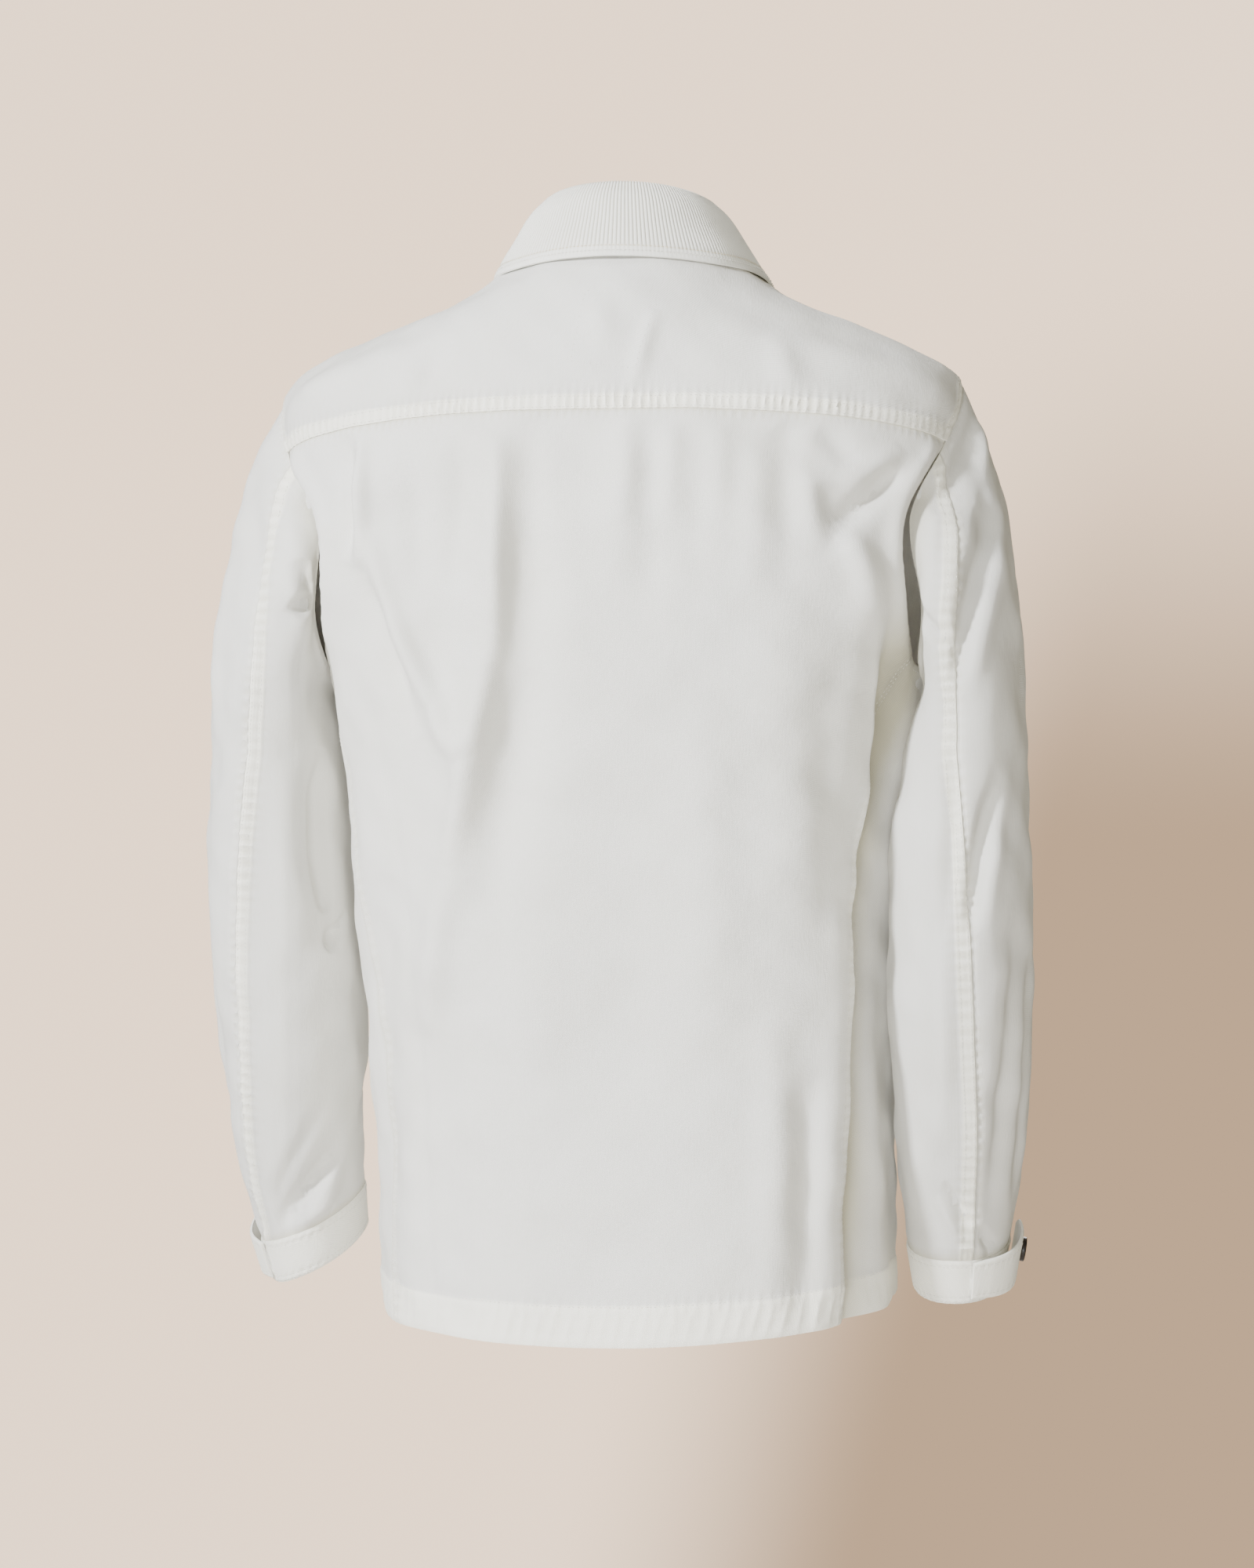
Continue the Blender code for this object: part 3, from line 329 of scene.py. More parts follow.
def make_twill(name):
    """Off-white twill on a piece's own UV map, in metres."""
    material, shader, start = new_material(name, 0.86, 0.22, (1.0, 0.98, 0.94))
    uv = Wire(start.tree, start.node("ShaderNodeUVMap", {"uv_map": "cut"}).outputs[0])
    slant = start.node("ShaderNodeVectorRotate", {"rotation_type": "Z_AXIS"}, Vector=uv,
                       Angle=RIB_SLANT)
    ribs = start.node("ShaderNodeTexWave", {"wave_profile": "SIN"},
                      i0=Wire(start.tree, slant.outputs[0]),
                      Scale=WAVE_TO_METRES / TWILL_PITCH, Distortion=0.6, Detail=1.0)
    ribs = Wire(start.tree, ribs.outputs["Fac"])
    drawn = start.node("ShaderNodeVectorMath", {"operation": "MULTIPLY"}, i0=uv, i1=SLUB_DRAWN)
    slub = noise(start, 1.0, 2.0, Wire(start.tree, drawn.outputs[0]))
    mottle = noise(start, 16.0, 4.0)
    cloud = (mottle * 0.6 + noise(start, 5.0, 2.0) * 0.4).step(0.34, 0.66)
    colour = (cloud * MOTTLE_SHARE).colours(TWILL_WHITE, TWILL_DUSTY_AND_SHADE)
    colour = ((1.0 - ribs) * RIB_SHARE + (1.0 - slub) * SLUB_SHARE).colours(colour, TWILL_DUSTY_AND_SHADE)
    doubled = (painted(start, "doubled") * DOUBLED_SHARE).step(0.0, 1.0)
    colour = doubled.colours(colour, TWILL_CREAM)
    # Painted shade: darker in pucker troughs, seam dips, tucks and past the side fold.
    colour = (painted(start, "painted_shade") * PAINTED_SHADE_SHARE).colours(colour, TWILL_DUSTY_AND_SHADE)
    for place in SPECKS:
        away = start.node("ShaderNodeVectorMath", {"operation": "DISTANCE"}, i0=start, i1=place)
        near = 1.0 - Wire(start.tree, away.outputs["Value"]).step(0.0005, 0.0009)
        colour = near.colours(colour, SPECK_COLOUR)
    colour.into(shader, "Base Color")
    (mottle * 0.10 + 0.80).into(shader, "Roughness")
    height = ribs * 0.8 + slub * 1.5
    height = height + noise(start, 130.0, 3.0) * 2.4 + noise(start, 34.0, 3.0) * 6.0
    add_bump(shader, height, 0.7, 0.00018)
    return material


twill = make_twill("twill_cloth")
print("made", twill.name)

# %% [markdown]
# ## Corduroy, thread and buttons
#
# Corduroy is a pile cloth: its ribs are real relief, modelled on the collar itself, and the
# material only adds the short nap, paler on the crowns, with a warm painted shade in the
# grooves and along the stitched rows. The sewing thread is cream and a little glossier
# than the cloth. The buttons are dark resin.

# %% Corduroy, thread and button finishes
CORD_CROWN = (0.83, 0.822, 0.755)
CORD_BRUSHED = (0.74, 0.73, 0.66)
CORD_GROOVE_SHADE = (0.50, 0.475, 0.37)
RESIN_DARK = (0.018, 0.015, 0.013)
RESIN_CLOUD = (0.045, 0.036, 0.029)
THREAD_SHADE = 0.82           # how much darker the thread is between its twists


def make_corduroy():
    """Ivory corduroy; the attribute groove is 1 between two ribs, and there gives painted shade."""
    material, shader, start = new_material("corduroy_cloth", 0.92, 0.5, (1.0, 0.99, 0.93))
    brushed = noise(start, 45.0, 3.0)
    crown = (brushed.step(0.3, 0.7) * 0.25).colours(CORD_CROWN, CORD_BRUSHED)
    # Painted shade: darker between the ribs and along the stitched rows, by the groove attribute.
    (painted(start, "groove") * 0.75).colours(crown, CORD_GROOVE_SHADE).into(shader, "Base Color")
    add_bump(shader, noise(start, 900.0, 3.0) + brushed * 1.5, 0.6, 0.0002)
    return material


def make_thread(name, colour):
    """Spun sewing thread."""
    material, shader, start = new_material(name, 0.6, 0.1)
    shaded = tuple(part * THREAD_SHADE for part in colour)
    noise(start, 1500.0, 1.0).step(0.2, 0.8).colours(colour, shaded).into(shader, "Base Color")
    return material


def make_resin():
    """Near-black button resin with a faint cloudy grain, satin."""
    material, shader, start = new_material("button_resin", 0.32)
    grain = noise(start, 420.0, 3.0)
    grain.step(0.35, 0.7).colours(RESIN_DARK, RESIN_CLOUD).into(shader, "Base Color")
    (grain * 0.2 + 0.24).into(shader, "Roughness")
    return material


corduroy = make_corduroy()
cream_thread = make_thread("cream_thread", (0.80, 0.775, 0.70))
gold_thread = make_thread("gold_thread", (0.72, 0.62, 0.40))
dark_thread = make_thread("dark_thread", (0.030, 0.026, 0.022))
resin = make_resin()
print("made", corduroy.name, cream_thread.name, gold_thread.name, dark_thread.name, resin.name)

# %% [markdown]
# ## The jacket's sizes
#
# These are the solids' own sizes. The torso is one smooth surface, read at a way round (0
# at the centre back, 90 at the wearer's left side, 180 at the centre front) and a way down
# (0 at the neck seam, 1 at the hem). Each sleeve is a tube that grows out of the armhole.
# Every cloth piece is a patch of one of them, so the fine shells lie where the solids lie.

# %% Driving sizes
WALL = 0.0015                 # one layer of twill, with its seam allowances
THIN_WALL = WALL * 0.75       # the fine shells are a little thinner than the solids
HEM_WALL = 0.0026             # the hem is turned up twice
HEM_BAND = 0.027              # height of the turned-up hem
SEAM_GAP = 0.0003             # between two pieces at a seam
BACK_LENGTH = 0.752           # centre back, neck seam to hem
CUFF_HEIGHT = 0.031
CUFF_WALL = 0.0024
CUFF_PROUD = 0.0007           # the cuff lies this far outside the sleeve's surface
TAB_WALL = 0.0024
TAB_HEIGHT = 0.040
COLLAR_WALL = 0.0024
WALE_HEIGHT = 0.0005
WALE_COUNT = 176              # corduroy ribs round the collar, about 2.5 mm apart
FRONT_OVERLAP = 0.0165        # each front runs this far past the centre front
FRONT_STEP = 0.0007           # the right front lies this far under the left one
BUTTON_RADIUS = 0.0085
BUTTON_THICKNESS = 0.0032
FRONT_BUTTON_HEIGHTS = (-0.115, -0.215, -0.315, -0.415, -0.515, -0.615)

# %% Torso sections and armhole
# Half the width, the depth at the back and front, the height at the back, side and
# front, how square the section is (2 is an ellipse), and how far it hangs to the
# wearer's right.
BodyRing = namedtuple("BodyRing",
                      "down half_width back front z_back z_side z_front square sway")
BODY_RINGS = (
    BodyRing(0.000, 0.066, 0.062, 0.072, 0.012, 0.006, -0.068, 2.0, 0.000),    # neck seam
    BodyRing(0.050, 0.111, 0.089, 0.092, -0.020, -0.026, -0.100, 2.0, -0.001),
    BodyRing(0.100, 0.170, 0.106, 0.109, -0.058, -0.051, -0.126, 2.1, -0.006),
    BodyRing(0.150, 0.235, 0.118, 0.122, -0.098, -0.085, -0.152, 2.3, -0.005),  # shoulders
    BodyRing(0.200, 0.244, 0.127, 0.130, -0.138, -0.137, -0.182, 2.4, -0.003),
    BodyRing(0.280, 0.235, 0.134, 0.138, -0.200, -0.200, -0.232, 2.5, 0.000),
    BodyRing(0.400, 0.212, 0.137, 0.142, -0.292, -0.290, -0.312, 2.6, 0.002),  # underarm
    BodyRing(0.450, 0.204, 0.136, 0.142, -0.330, -0.327, -0.346, 2.6, 0.001),
    BodyRing(0.600, 0.192, 0.134, 0.143, -0.443, -0.438, -0.450, 2.7, 0.000),
    BodyRing(0.800, 0.182, 0.133, 0.143, -0.594, -0.583, -0.590, 2.7, 0.004),
    BodyRing(1.000, 0.178, 0.137, 0.144, -0.744, -0.729, -0.732, 2.6, 0.008),  # hem
)

HEM_TILT = 0.022              # the hem hangs lower on the wearer's left, by this slope

# The armhole is an egg on the torso: its middle and how far it reaches each way.
ARMHOLE_ROUND = 92.0
ARMHOLE_REACH_BACK = 38.0
ARMHOLE_REACH_FRONT = 34.0
ARMHOLE_DOWN = 0.275
ARMHOLE_RISE = 0.125
ARMHOLE_POINTED = 1.6         # the upper half is narrower than an ellipse

# Where seams meet the armhole, in degrees round it, and the steps between them.
BACK_SLEEVE_SEAM = 32
YOKE_END = 38
SHOULDER_SEAM = 104
FRONT_SLEEVE_SEAM = 222
SIDE_SEAM = 288
ALL_ROUND = BACK_SLEEVE_SEAM + 360
Stretch = namedtuple("Stretch", "start end steps")
ARMHOLE_STRETCHES = (
    Stretch(BACK_SLEEVE_SEAM, YOKE_END, 1),
    Stretch(YOKE_END, SHOULDER_SEAM, 3),
    Stretch(SHOULDER_SEAM, FRONT_SLEEVE_SEAM, 7),
    Stretch(FRONT_SLEEVE_SEAM, SIDE_SEAM, 4),
    Stretch(SIDE_SEAM, ALL_ROUND, 7),
)

YOKE_DOWN_CENTRE = 0.172
UNDER_ARM_DOWN = 0.452        # where the row at the underarm crosses a panel's middle
USUAL_ROUND = 56.0            # how far round the back panel mostly reaches
ROW_CURVE = 2.2               # how late a row turns up or down towards its edge

# The side seam swings to the back below the arm.
SideSeam = namedtuple("SideSeam", "down round")
SIDE_SEAM_LINE = (
    SideSeam(0.392, 79.0),
    SideSeam(0.500, 65.0),
    SideSeam(0.650, 56.0),
    SideSeam(0.800, 54.0),
    SideSeam(1.000, 54.0),
)

# %% Sleeve sections
# Inner and outer reach from the centre line, the middle's place front to back, half
# the depth, the section's tilt across and front to back, and where its back seam runs.
SleeveRing = namedtuple("SleeveRing", "z inner outer y half_depth lean pitch seam")
LEFT_SLEEVE = (
    SleeveRing(-0.345, 0.2075, 0.2965, 0.006, 0.074, 0.10, 0.00, 4.0),
    SleeveRing(-0.430, 0.2010, 0.3015, 0.006, 0.071, 0.02, 0.00, 14.0),
    SleeveRing(-0.485, 0.1975, 0.3010, 0.003, 0.069, -0.04, -0.04, 20.0),
    SleeveRing(-0.535, 0.1955, 0.2970, -0.003, 0.066, -0.12, -0.10, 26.0),
    SleeveRing(-0.590, 0.1975, 0.2905, -0.014, 0.062, -0.22, -0.17, 34.0),
    SleeveRing(-0.640, 0.2020, 0.2820, -0.027, 0.057, -0.32, -0.22, 42.0),
    SleeveRing(-0.674, 0.2035, 0.2752, -0.036, 0.053, -0.38, -0.24, 45.0),
    SleeveRing(-0.707, 0.2040, 0.2675, -0.045, 0.050, -0.42, -0.25, 45.0),
)
RIGHT_SLEEVE = (
    SleeveRing(-0.345, 0.2060, 0.2800, 0.018, 0.074, 0.08, 0.00, -8.0),
    SleeveRing(-0.430, 0.1980, 0.2830, 0.022, 0.071, 0.00, 0.00, 6.0),
    SleeveRing(-0.485, 0.1955, 0.2840, 0.020, 0.069, 0.00, -0.04, 10.0),
    SleeveRing(-0.535, 0.1925, 0.2830, 0.015, 0.066, 0.00, -0.08, 14.0),
    SleeveRing(-0.590, 0.1905, 0.2805, 0.004, 0.062, 0.00, -0.12, 18.0),
    SleeveRing(-0.640, 0.1905, 0.2745, -0.008, 0.057, 0.00, -0.16, 20.0),
    SleeveRing(-0.680, 0.1940, 0.2670, -0.018, 0.053, 0.00, -0.18, 22.0),
    SleeveRing(-0.716, 0.1990, 0.2600, -0.027, 0.050, 0.00, -0.18, 22.0),
)
SLEEVE_SQUARE = 2.2
SEAM_SETTLED = 0.85           # way along where the back seam has reached its table's place
SLEEVES = {"left": (1.0, LEFT_SLEEVE), "right": (-1.0, RIGHT_SLEEVE)}
HEAD_FULLNESS = {"left": 0.06, "right": -0.06}    # how far the sleeve head swells outwards
SLEEVE_RADIUS = 0.062         # turns a fold's way round a sleeve into a distance

# %% [markdown]
# ## The big folds
#
# A filled-out jacket hangs from its shoulder blades, so one long fold falls from the yoke
# on the wearer's left and swings outwards, and the cloth crumples where the sleeves meet
# the body. Each fold is a row: three places that it runs through, its height and its width.

# %% Folds of the solids
# A fold runs through three places. It stands out by height, or sinks where height
# is negative, and falls away over width. On the torso a place is across and up.
BodyFold = namedtuple("BodyFold", "face x0 z0 x1 z1 x2 z2 height width")
# On a sleeve a place is the way round, in degrees (below 0 is beside the body), and the
# height.
SleeveFold = namedtuple("SleeveFold", "side round0 z0 round1 z1 round2 z2 height width")


def folds_on(kind, part, *rows):
    """Rows of numbers as folds of one kind, all on one part."""
    return tuple(kind(part, *row) for row in rows)


BODY_FOLDS = folds_on(
    BodyFold, "back",
    (0.071, -0.120, 0.074, -0.290, 0.112, -0.510, 0.0060, 0.026),
    (0.105, -0.150, 0.108, -0.290, 0.150, -0.470, -0.0035, 0.022),
    (0.045, -0.200, 0.052, -0.330, 0.080, -0.500, -0.0040, 0.024),
    (0.158, -0.195, 0.132, -0.280, 0.089, -0.352, 0.0038, 0.015),
    (0.165, -0.140, 0.163, -0.180, 0.160, -0.240, 0.0040, 0.012),
    (-0.020, -0.115, -0.019, -0.150, -0.018, -0.230, 0.0025, 0.012),
    (-0.074, -0.118, -0.074, -0.160, -0.070, -0.250, 0.0025, 0.014),
    (-0.120, -0.190, -0.128, -0.330, -0.140, -0.520, 0.0040, 0.024),
    (-0.165, -0.420, -0.158, -0.560, -0.150, -0.760, 0.0050, 0.016),
    (-0.190, -0.250, -0.184, -0.430, -0.174, -0.640, -0.0110, 0.020),
    (-0.205, -0.150, -0.184, -0.172, -0.156, -0.195, -0.0060, 0.011),
    (-0.162, -0.200, -0.178, -0.228, -0.188, -0.275, 0.0032, 0.012)) + folds_on(
    BodyFold, "front",
    (0.110, -0.160, 0.105, -0.300, 0.120, -0.520, 0.0055, 0.026),
    (-0.105, -0.170, -0.110, -0.320, -0.105, -0.540, 0.0055, 0.028),
    (0.175, -0.210, 0.150, -0.290, 0.100, -0.350, 0.0045, 0.016),
    (-0.172, -0.205, -0.145, -0.280, -0.095, -0.330, 0.0045, 0.016),
    (0.060, -0.520, 0.066, -0.620, 0.062, -0.740, 0.0040, 0.020),
    (-0.065, -0.540, -0.070, -0.640, -0.066, -0.740, 0.0040, 0.020))
SLEEVE_FOLDS = folds_on(
    SleeveFold, "left",
    (-38, -0.240, -20, -0.245, -2, -0.241, -0.0050, 0.010),
    (-32, -0.220, -16, -0.224, 2, -0.218, 0.0030, 0.010),
    (-56, -0.350, -52, -0.420, -55, -0.490, -0.0050, 0.013),
    (-60, -0.618, -24, -0.650, 18, -0.676, -0.0060, 0.012),
    (-74, -0.632, -36, -0.668, 2, -0.690, 0.0035, 0.010),
    (150, -0.330, 165, -0.420, 150, -0.520, 0.0050, 0.018),
    (190, -0.420, 215, -0.455, 240, -0.475, -0.0050, 0.013),
    (120, -0.250, 140, -0.310, 185, -0.345, -0.0040, 0.016)) + folds_on(
    SleeveFold, "right",
    (56, -0.118, 40, -0.146, 16, -0.192, -0.0055, 0.010),
    (52, -0.178, 22, -0.248, -8, -0.302, -0.0045, 0.011),
    (38, -0.356, 18, -0.420, 9, -0.476, -0.0040, 0.013),
    (60, -0.456, 50, -0.566, 36, -0.662, -0.0035, 0.015),
    (155, -0.330, 170, -0.430, 150, -0.530, 0.0050, 0.018),
    (185, -0.430, 215, -0.470, 240, -0.490, -0.0050, 0.013),
    (125, -0.240, 145, -0.300, 190, -0.340, -0.0040, 0.016))

# %% Smooth surfaces
def lengths(vectors):
    """How long each vector is."""
    return np.linalg.norm(vectors, axis=-1)


def unit(vectors):
    """Vectors of length one."""
    return vectors / np.linalg.norm(vectors, axis=-1, keepdims=True)


def ease(value):
    """0 below 0, 1 above 1 and a smooth step between."""
    held = np.clip(value, 0.0, 1.0)
    return held * held * (3.0 - 2.0 * held)


def fade(value, over):
    """1 where a value is 0 or less, and smoothly down to 0 over a distance."""
    return 1.0 - ease(value / over)


def hill(value, top, width):
    """1 where a value is at its top, falling away smoothly over a width."""
    return np.exp(-((value - top) / width) ** 2)


def curve_between(start, leaving, end, arriving, span, t):
    """A smooth curve from start to end, as steep at both ends as it is told."""
    return (start * (1 + 2 * t) * (1 - t) ** 2 + leaving * span * t * (1 - t) ** 2
            + end * t * t * (3 - 2 * t) + arriving * span * t * t * (t - 1))


def read_table(table, where):
    """The table's other columns at each place in its first one, on a smooth curve."""
    rows = np.array(table, dtype=float)
    knots = rows[:, 0]
    if knots[0] > knots[-1]:
        rows = rows[::-1]
        knots = rows[:, 0]
    slopes = np.gradient(rows[:, 1:], knots, axis=0)
    where = np.asarray(where, dtype=float)
    index = np.clip(np.searchsorted(knots, where) - 1, 0, len(knots) - 2)
    span = knots[index + 1] - knots[index]
    t = ((where - knots[index]) / span)[..., None]
    return curve_between(rows[index, 1:], slopes[index], rows[index + 1, 1:],
                         slopes[index + 1], span[..., None], t)


def squared_circle(angle, square):
    """Sine and cosine, pushed out towards the corners of a square."""
    sine, cosine = np.sin(angle), np.cos(angle)
    push = (np.abs(sine) ** square + np.abs(cosine) ** square) ** (-1.0 / square)
    return sine * push, cosine * push


def fold_height(place, start, middle, end, height, width):
    """How far a fold lifts each place, for a fold through three places."""
    lift = np.zeros(place.shape[:-1])
    t = np.linspace(0.0, 1.0, 17)[:, None]
    path = ((1 - t) * (1 - 2 * t)) * start + (4 * t * (1 - t)) * middle + (t * (2 * t - 1)) * end
    margin = 2.6 * width      # past this the fold is too low to see
    close = ((place > path.min(axis=0) - margin)
             & (place < path.max(axis=0) + margin)).all(axis=-1)
    if not close.any():
        return lift
    near = place[close]
    nearest = ((near[:, None, :] - path) ** 2).sum(axis=-1).argmin(axis=-1)
    speed = (4 * t - 3) * start + (4 - 8 * t) * middle + (4 * t - 1) * end
    run = np.linalg.norm(speed, axis=-1, keepdims=True)
    ahead = (speed / run)[nearest]
    gap = near - path[nearest]
    past = (gap * ahead).sum(axis=-1)
    along = t[nearest, 0] + past / run[nearest, 0]
    inside = (along > 0.0) & (along < 1.0)
    squared = (gap ** 2).sum(axis=-1) - np.where(inside, past ** 2, 0.0)
    fade = np.sin(np.pi * np.clip(along, 0.0, 1.0)) ** 0.8
    lift[close] = height * fade * np.exp(-np.clip(squared, 0.0, None) / width ** 2)
    return lift


def armhole_place(around):
    """Way round and way down the torso of places round the armhole, in degrees."""
    angle = np.radians(around)
    reach = np.where(np.cos(angle) > 0, ARMHOLE_REACH_BACK, ARMHOLE_REACH_FRONT)
    across = np.abs(np.cos(angle))
    across = np.where(np.sin(angle) > 0, across ** ARMHOLE_POINTED, across)
    return (ARMHOLE_ROUND - reach * across * np.sign(np.cos(angle)),
            ARMHOLE_DOWN - ARMHOLE_RISE * np.sin(angle))


def plain_body(around, down):
    """Places on the torso before it folds."""
    ring = read_table(BODY_RINGS, down)
    half_width, back, front, z_back, z_side, z_front, square, sway = np.moveaxis(ring, -1, 0)
    angle = np.radians(around)
    sine, cosine = squared_circle(angle, square)
    depth = np.where(cosine > 0, back, front)
    to_back = np.clip(np.cos(angle), 0, 1) ** 2
    to_front = np.clip(-np.cos(angle), 0, 1) ** 2
    z = z_side + (z_back - z_side) * to_back + (z_front - z_side) * to_front
    x = half_width * sine - sway
    return np.stack([x, depth * cosine, z - HEM_TILT * x * down ** 2], axis=-1)


def normals_of(surface, first, second, step_first, step_second):
    """Unit normals of a surface that is read at two numbers."""
    along_first = surface(first + step_first, second) - surface(first - step_first, second)
    along_second = surface(first, second + step_second) - surface(first, second - step_second)
    return unit(np.cross(along_first, along_second))


RIM_ROUND, RIM_DOWN = armhole_place(np.arange(0.0, 360.0, 7.5))
ARMHOLE_RIMS = np.concatenate([plain_body(RIM_ROUND, RIM_DOWN), plain_body(-RIM_ROUND, RIM_DOWN)])
TURN_TO_FACE = 0.040          # a fold fades out over this depth towards the side


def body_folds(point, folds, deeper=1.0):
    """How far the folds of a table lift places on the torso."""
    lift = np.zeros(point.shape[:-1])
    for fold in folds:
        facing = ease((point[..., 1] if fold.face == "back" else -point[..., 1]) / TURN_TO_FACE)
        lift += facing * fold_height(
            point[..., ::2], np.array([fold.x0, fold.z0]), np.array([fold.x1, fold.z1]),
            np.array([fold.x2, fold.z2]), fold.height * deeper, fold.width)
    return lift


def body_lift(point):
    """How far the big folds lift places on the torso; nothing close to the armholes."""
    clear = lengths(point[..., None, :] - ARMHOLE_RIMS).min(axis=-1)
    return body_folds(point, BODY_FOLDS) * ease((clear - 0.003) / 0.022)


def body(around, down):
    """Places on the torso, folds and all."""
    around, down = np.broadcast_arrays(np.asarray(around, float), np.asarray(down, float))
    point = plain_body(around, down)
    normal = normals_of(plain_body, around, down, 0.5, 0.002)
    return point + normal * body_lift(point)[..., None]


def body_normal(around, down):
    """Unit normals of the folded torso, facing out."""
    around, down = np.broadcast_arrays(np.asarray(around, float), np.asarray(down, float))
    return normals_of(body, around, down, 0.5, 0.002)


def sleeve_ring_point(side, around, z):
    """Places on a sleeve's sections, below the sleeve head."""
    sign, table = SLEEVES[side]
    inner, outer, y, half_depth, lean, pitch, _ = np.moveaxis(read_table(table, z), -1, 0)
    sine, cosine = squared_circle(np.radians(around), SLEEVE_SQUARE)
    across = (outer - inner) / 2 * sine
    depth = half_depth * cosine
    return np.stack([sign * ((inner + outer) / 2 + across), y + depth,
                     z + lean * across + pitch * depth], axis=-1)


def plain_sleeve(side, around, along):
    """Places on a sleeve before it folds: the head, then the straight part."""
    sign, table = SLEEVES[side]
    z_top, z_end = table[0].z, table[-1].z
    straight = np.clip(along - 1.0, 0.0, 1.0)
    lower = sleeve_ring_point(side, around, z_top + (z_end - z_top) * straight)
    top = sleeve_ring_point(side, around, np.full_like(straight, z_top))
    past = sleeve_ring_point(side, around, np.full_like(straight, z_top - 0.01))
    place_round, place_down = armhole_place(around)
    armhole = plain_body(sign * place_round, place_down)
    span = np.linalg.norm(top - armhole, axis=-1, keepdims=True)
    sine = np.sin(np.radians(around))
    leaving = unit(np.stack([sign * (0.50 + HEAD_FULLNESS[side] * sine),
                             0.22 * np.cos(np.radians(around)), np.full_like(sine, -0.86)],
                            axis=-1))
    arriving = unit(past - top)
    head = curve_between(armhole, leaving, top, arriving, span,
                         np.clip(along, 0.0, 1.0)[..., None])
    return np.where(along[..., None] < 1.0, head, lower)


def sleeve_folds(side, around, point, folds, deeper=1.0):
    """How far the folds of a table lift places on a sleeve; only inwards beside the body."""
    lift = np.zeros(point.shape[:-1])
    place = np.stack([np.radians(around) * SLEEVE_RADIUS, point[..., 2]], axis=-1)
    for fold in folds:
        if fold.side != side:
            continue
        for turn in (-360.0, 0.0, 360.0):
            ends = [np.array([np.radians(degrees + turn) * SLEEVE_RADIUS, z]) for degrees, z in
                    ((fold.round0, fold.z0), (fold.round1, fold.z1), (fold.round2, fold.z2))]
            lift += fold_height(place, *ends, fold.height * deeper, fold.width)
    beside_body = np.clip(-np.sin(np.radians(around)), 0, 1)
    return np.where(lift > 0, lift * (1 - beside_body), lift)


def sleeve_lift(side, around, along, point):
    """How far the big folds lift places on a sleeve; nothing at its two ends."""
    lift = sleeve_folds(side, around, point, SLEEVE_FOLDS)
    return lift * ease(along / 0.30) * ease((2.0 - along) / 0.16)


def sleeve(side, around, along):
    """Places on a sleeve, folds and all."""
    around, along = np.broadcast_arrays(np.asarray(around, float), np.asarray(along, float))
    point = plain_sleeve(side, around, along)
    normal = SLEEVES[side][0] * normals_of(
        lambda a, b: plain_sleeve(side, a, b), around, np.clip(along, 0.01, 1.99), 0.5, 0.01)
    return point + normal * sleeve_lift(side, around, along, point)[..., None]


def sleeve_normal(side, around, along):
    """Unit normals of a folded sleeve, facing out."""
    around, along = np.broadcast_arrays(np.asarray(around, float), np.asarray(along, float))
    return SLEEVES[side][0] * normals_of(
        lambda a, b: sleeve(side, a, b), around, np.clip(along, 0.01, 1.99), 0.5, 0.01)


def cuff_start(side):
    """Way along a sleeve where its cuff begins."""
    table = SLEEVES[side][1]
    return 2.0 - CUFF_HEIGHT / (table[0].z - table[-1].z)


def sleeve_places(side, columns, along):
    """Ways round for a sleeve's columns, which follow the two sleeve seams."""
    table = SLEEVES[side][1]
    z = table[0].z + (table[-1].z - table[0].z) * np.clip(along - 1.0, 0.0, 1.0)
    seam = (read_table(table, z)[..., -1] - BACK_SLEEVE_SEAM) * ease(along / SEAM_SETTLED)
    share = np.where(
        columns <= FRONT_SLEEVE_SEAM,
        (FRONT_SLEEVE_SEAM - columns) / (FRONT_SLEEVE_SEAM - BACK_SLEEVE_SEAM),
        (columns - FRONT_SLEEVE_SEAM) / (ALL_ROUND - FRONT_SLEEVE_SEAM))
    return columns + seam[:, None] * share


print("the torso is", round(float(2 * BODY_RINGS[4].half_width * 1000)), "mm wide at the shoulders")

# %% [markdown]
# ## Smaller creases
#
# Close to, the cloth is never smooth. Rows of soft troughs fall from the yoke seam, the
# armpits crumple, and the sleeves break into short creases at the elbow and above the cuff.
# They are as uneven as on the real one, and the front gets its own, of the same kind.

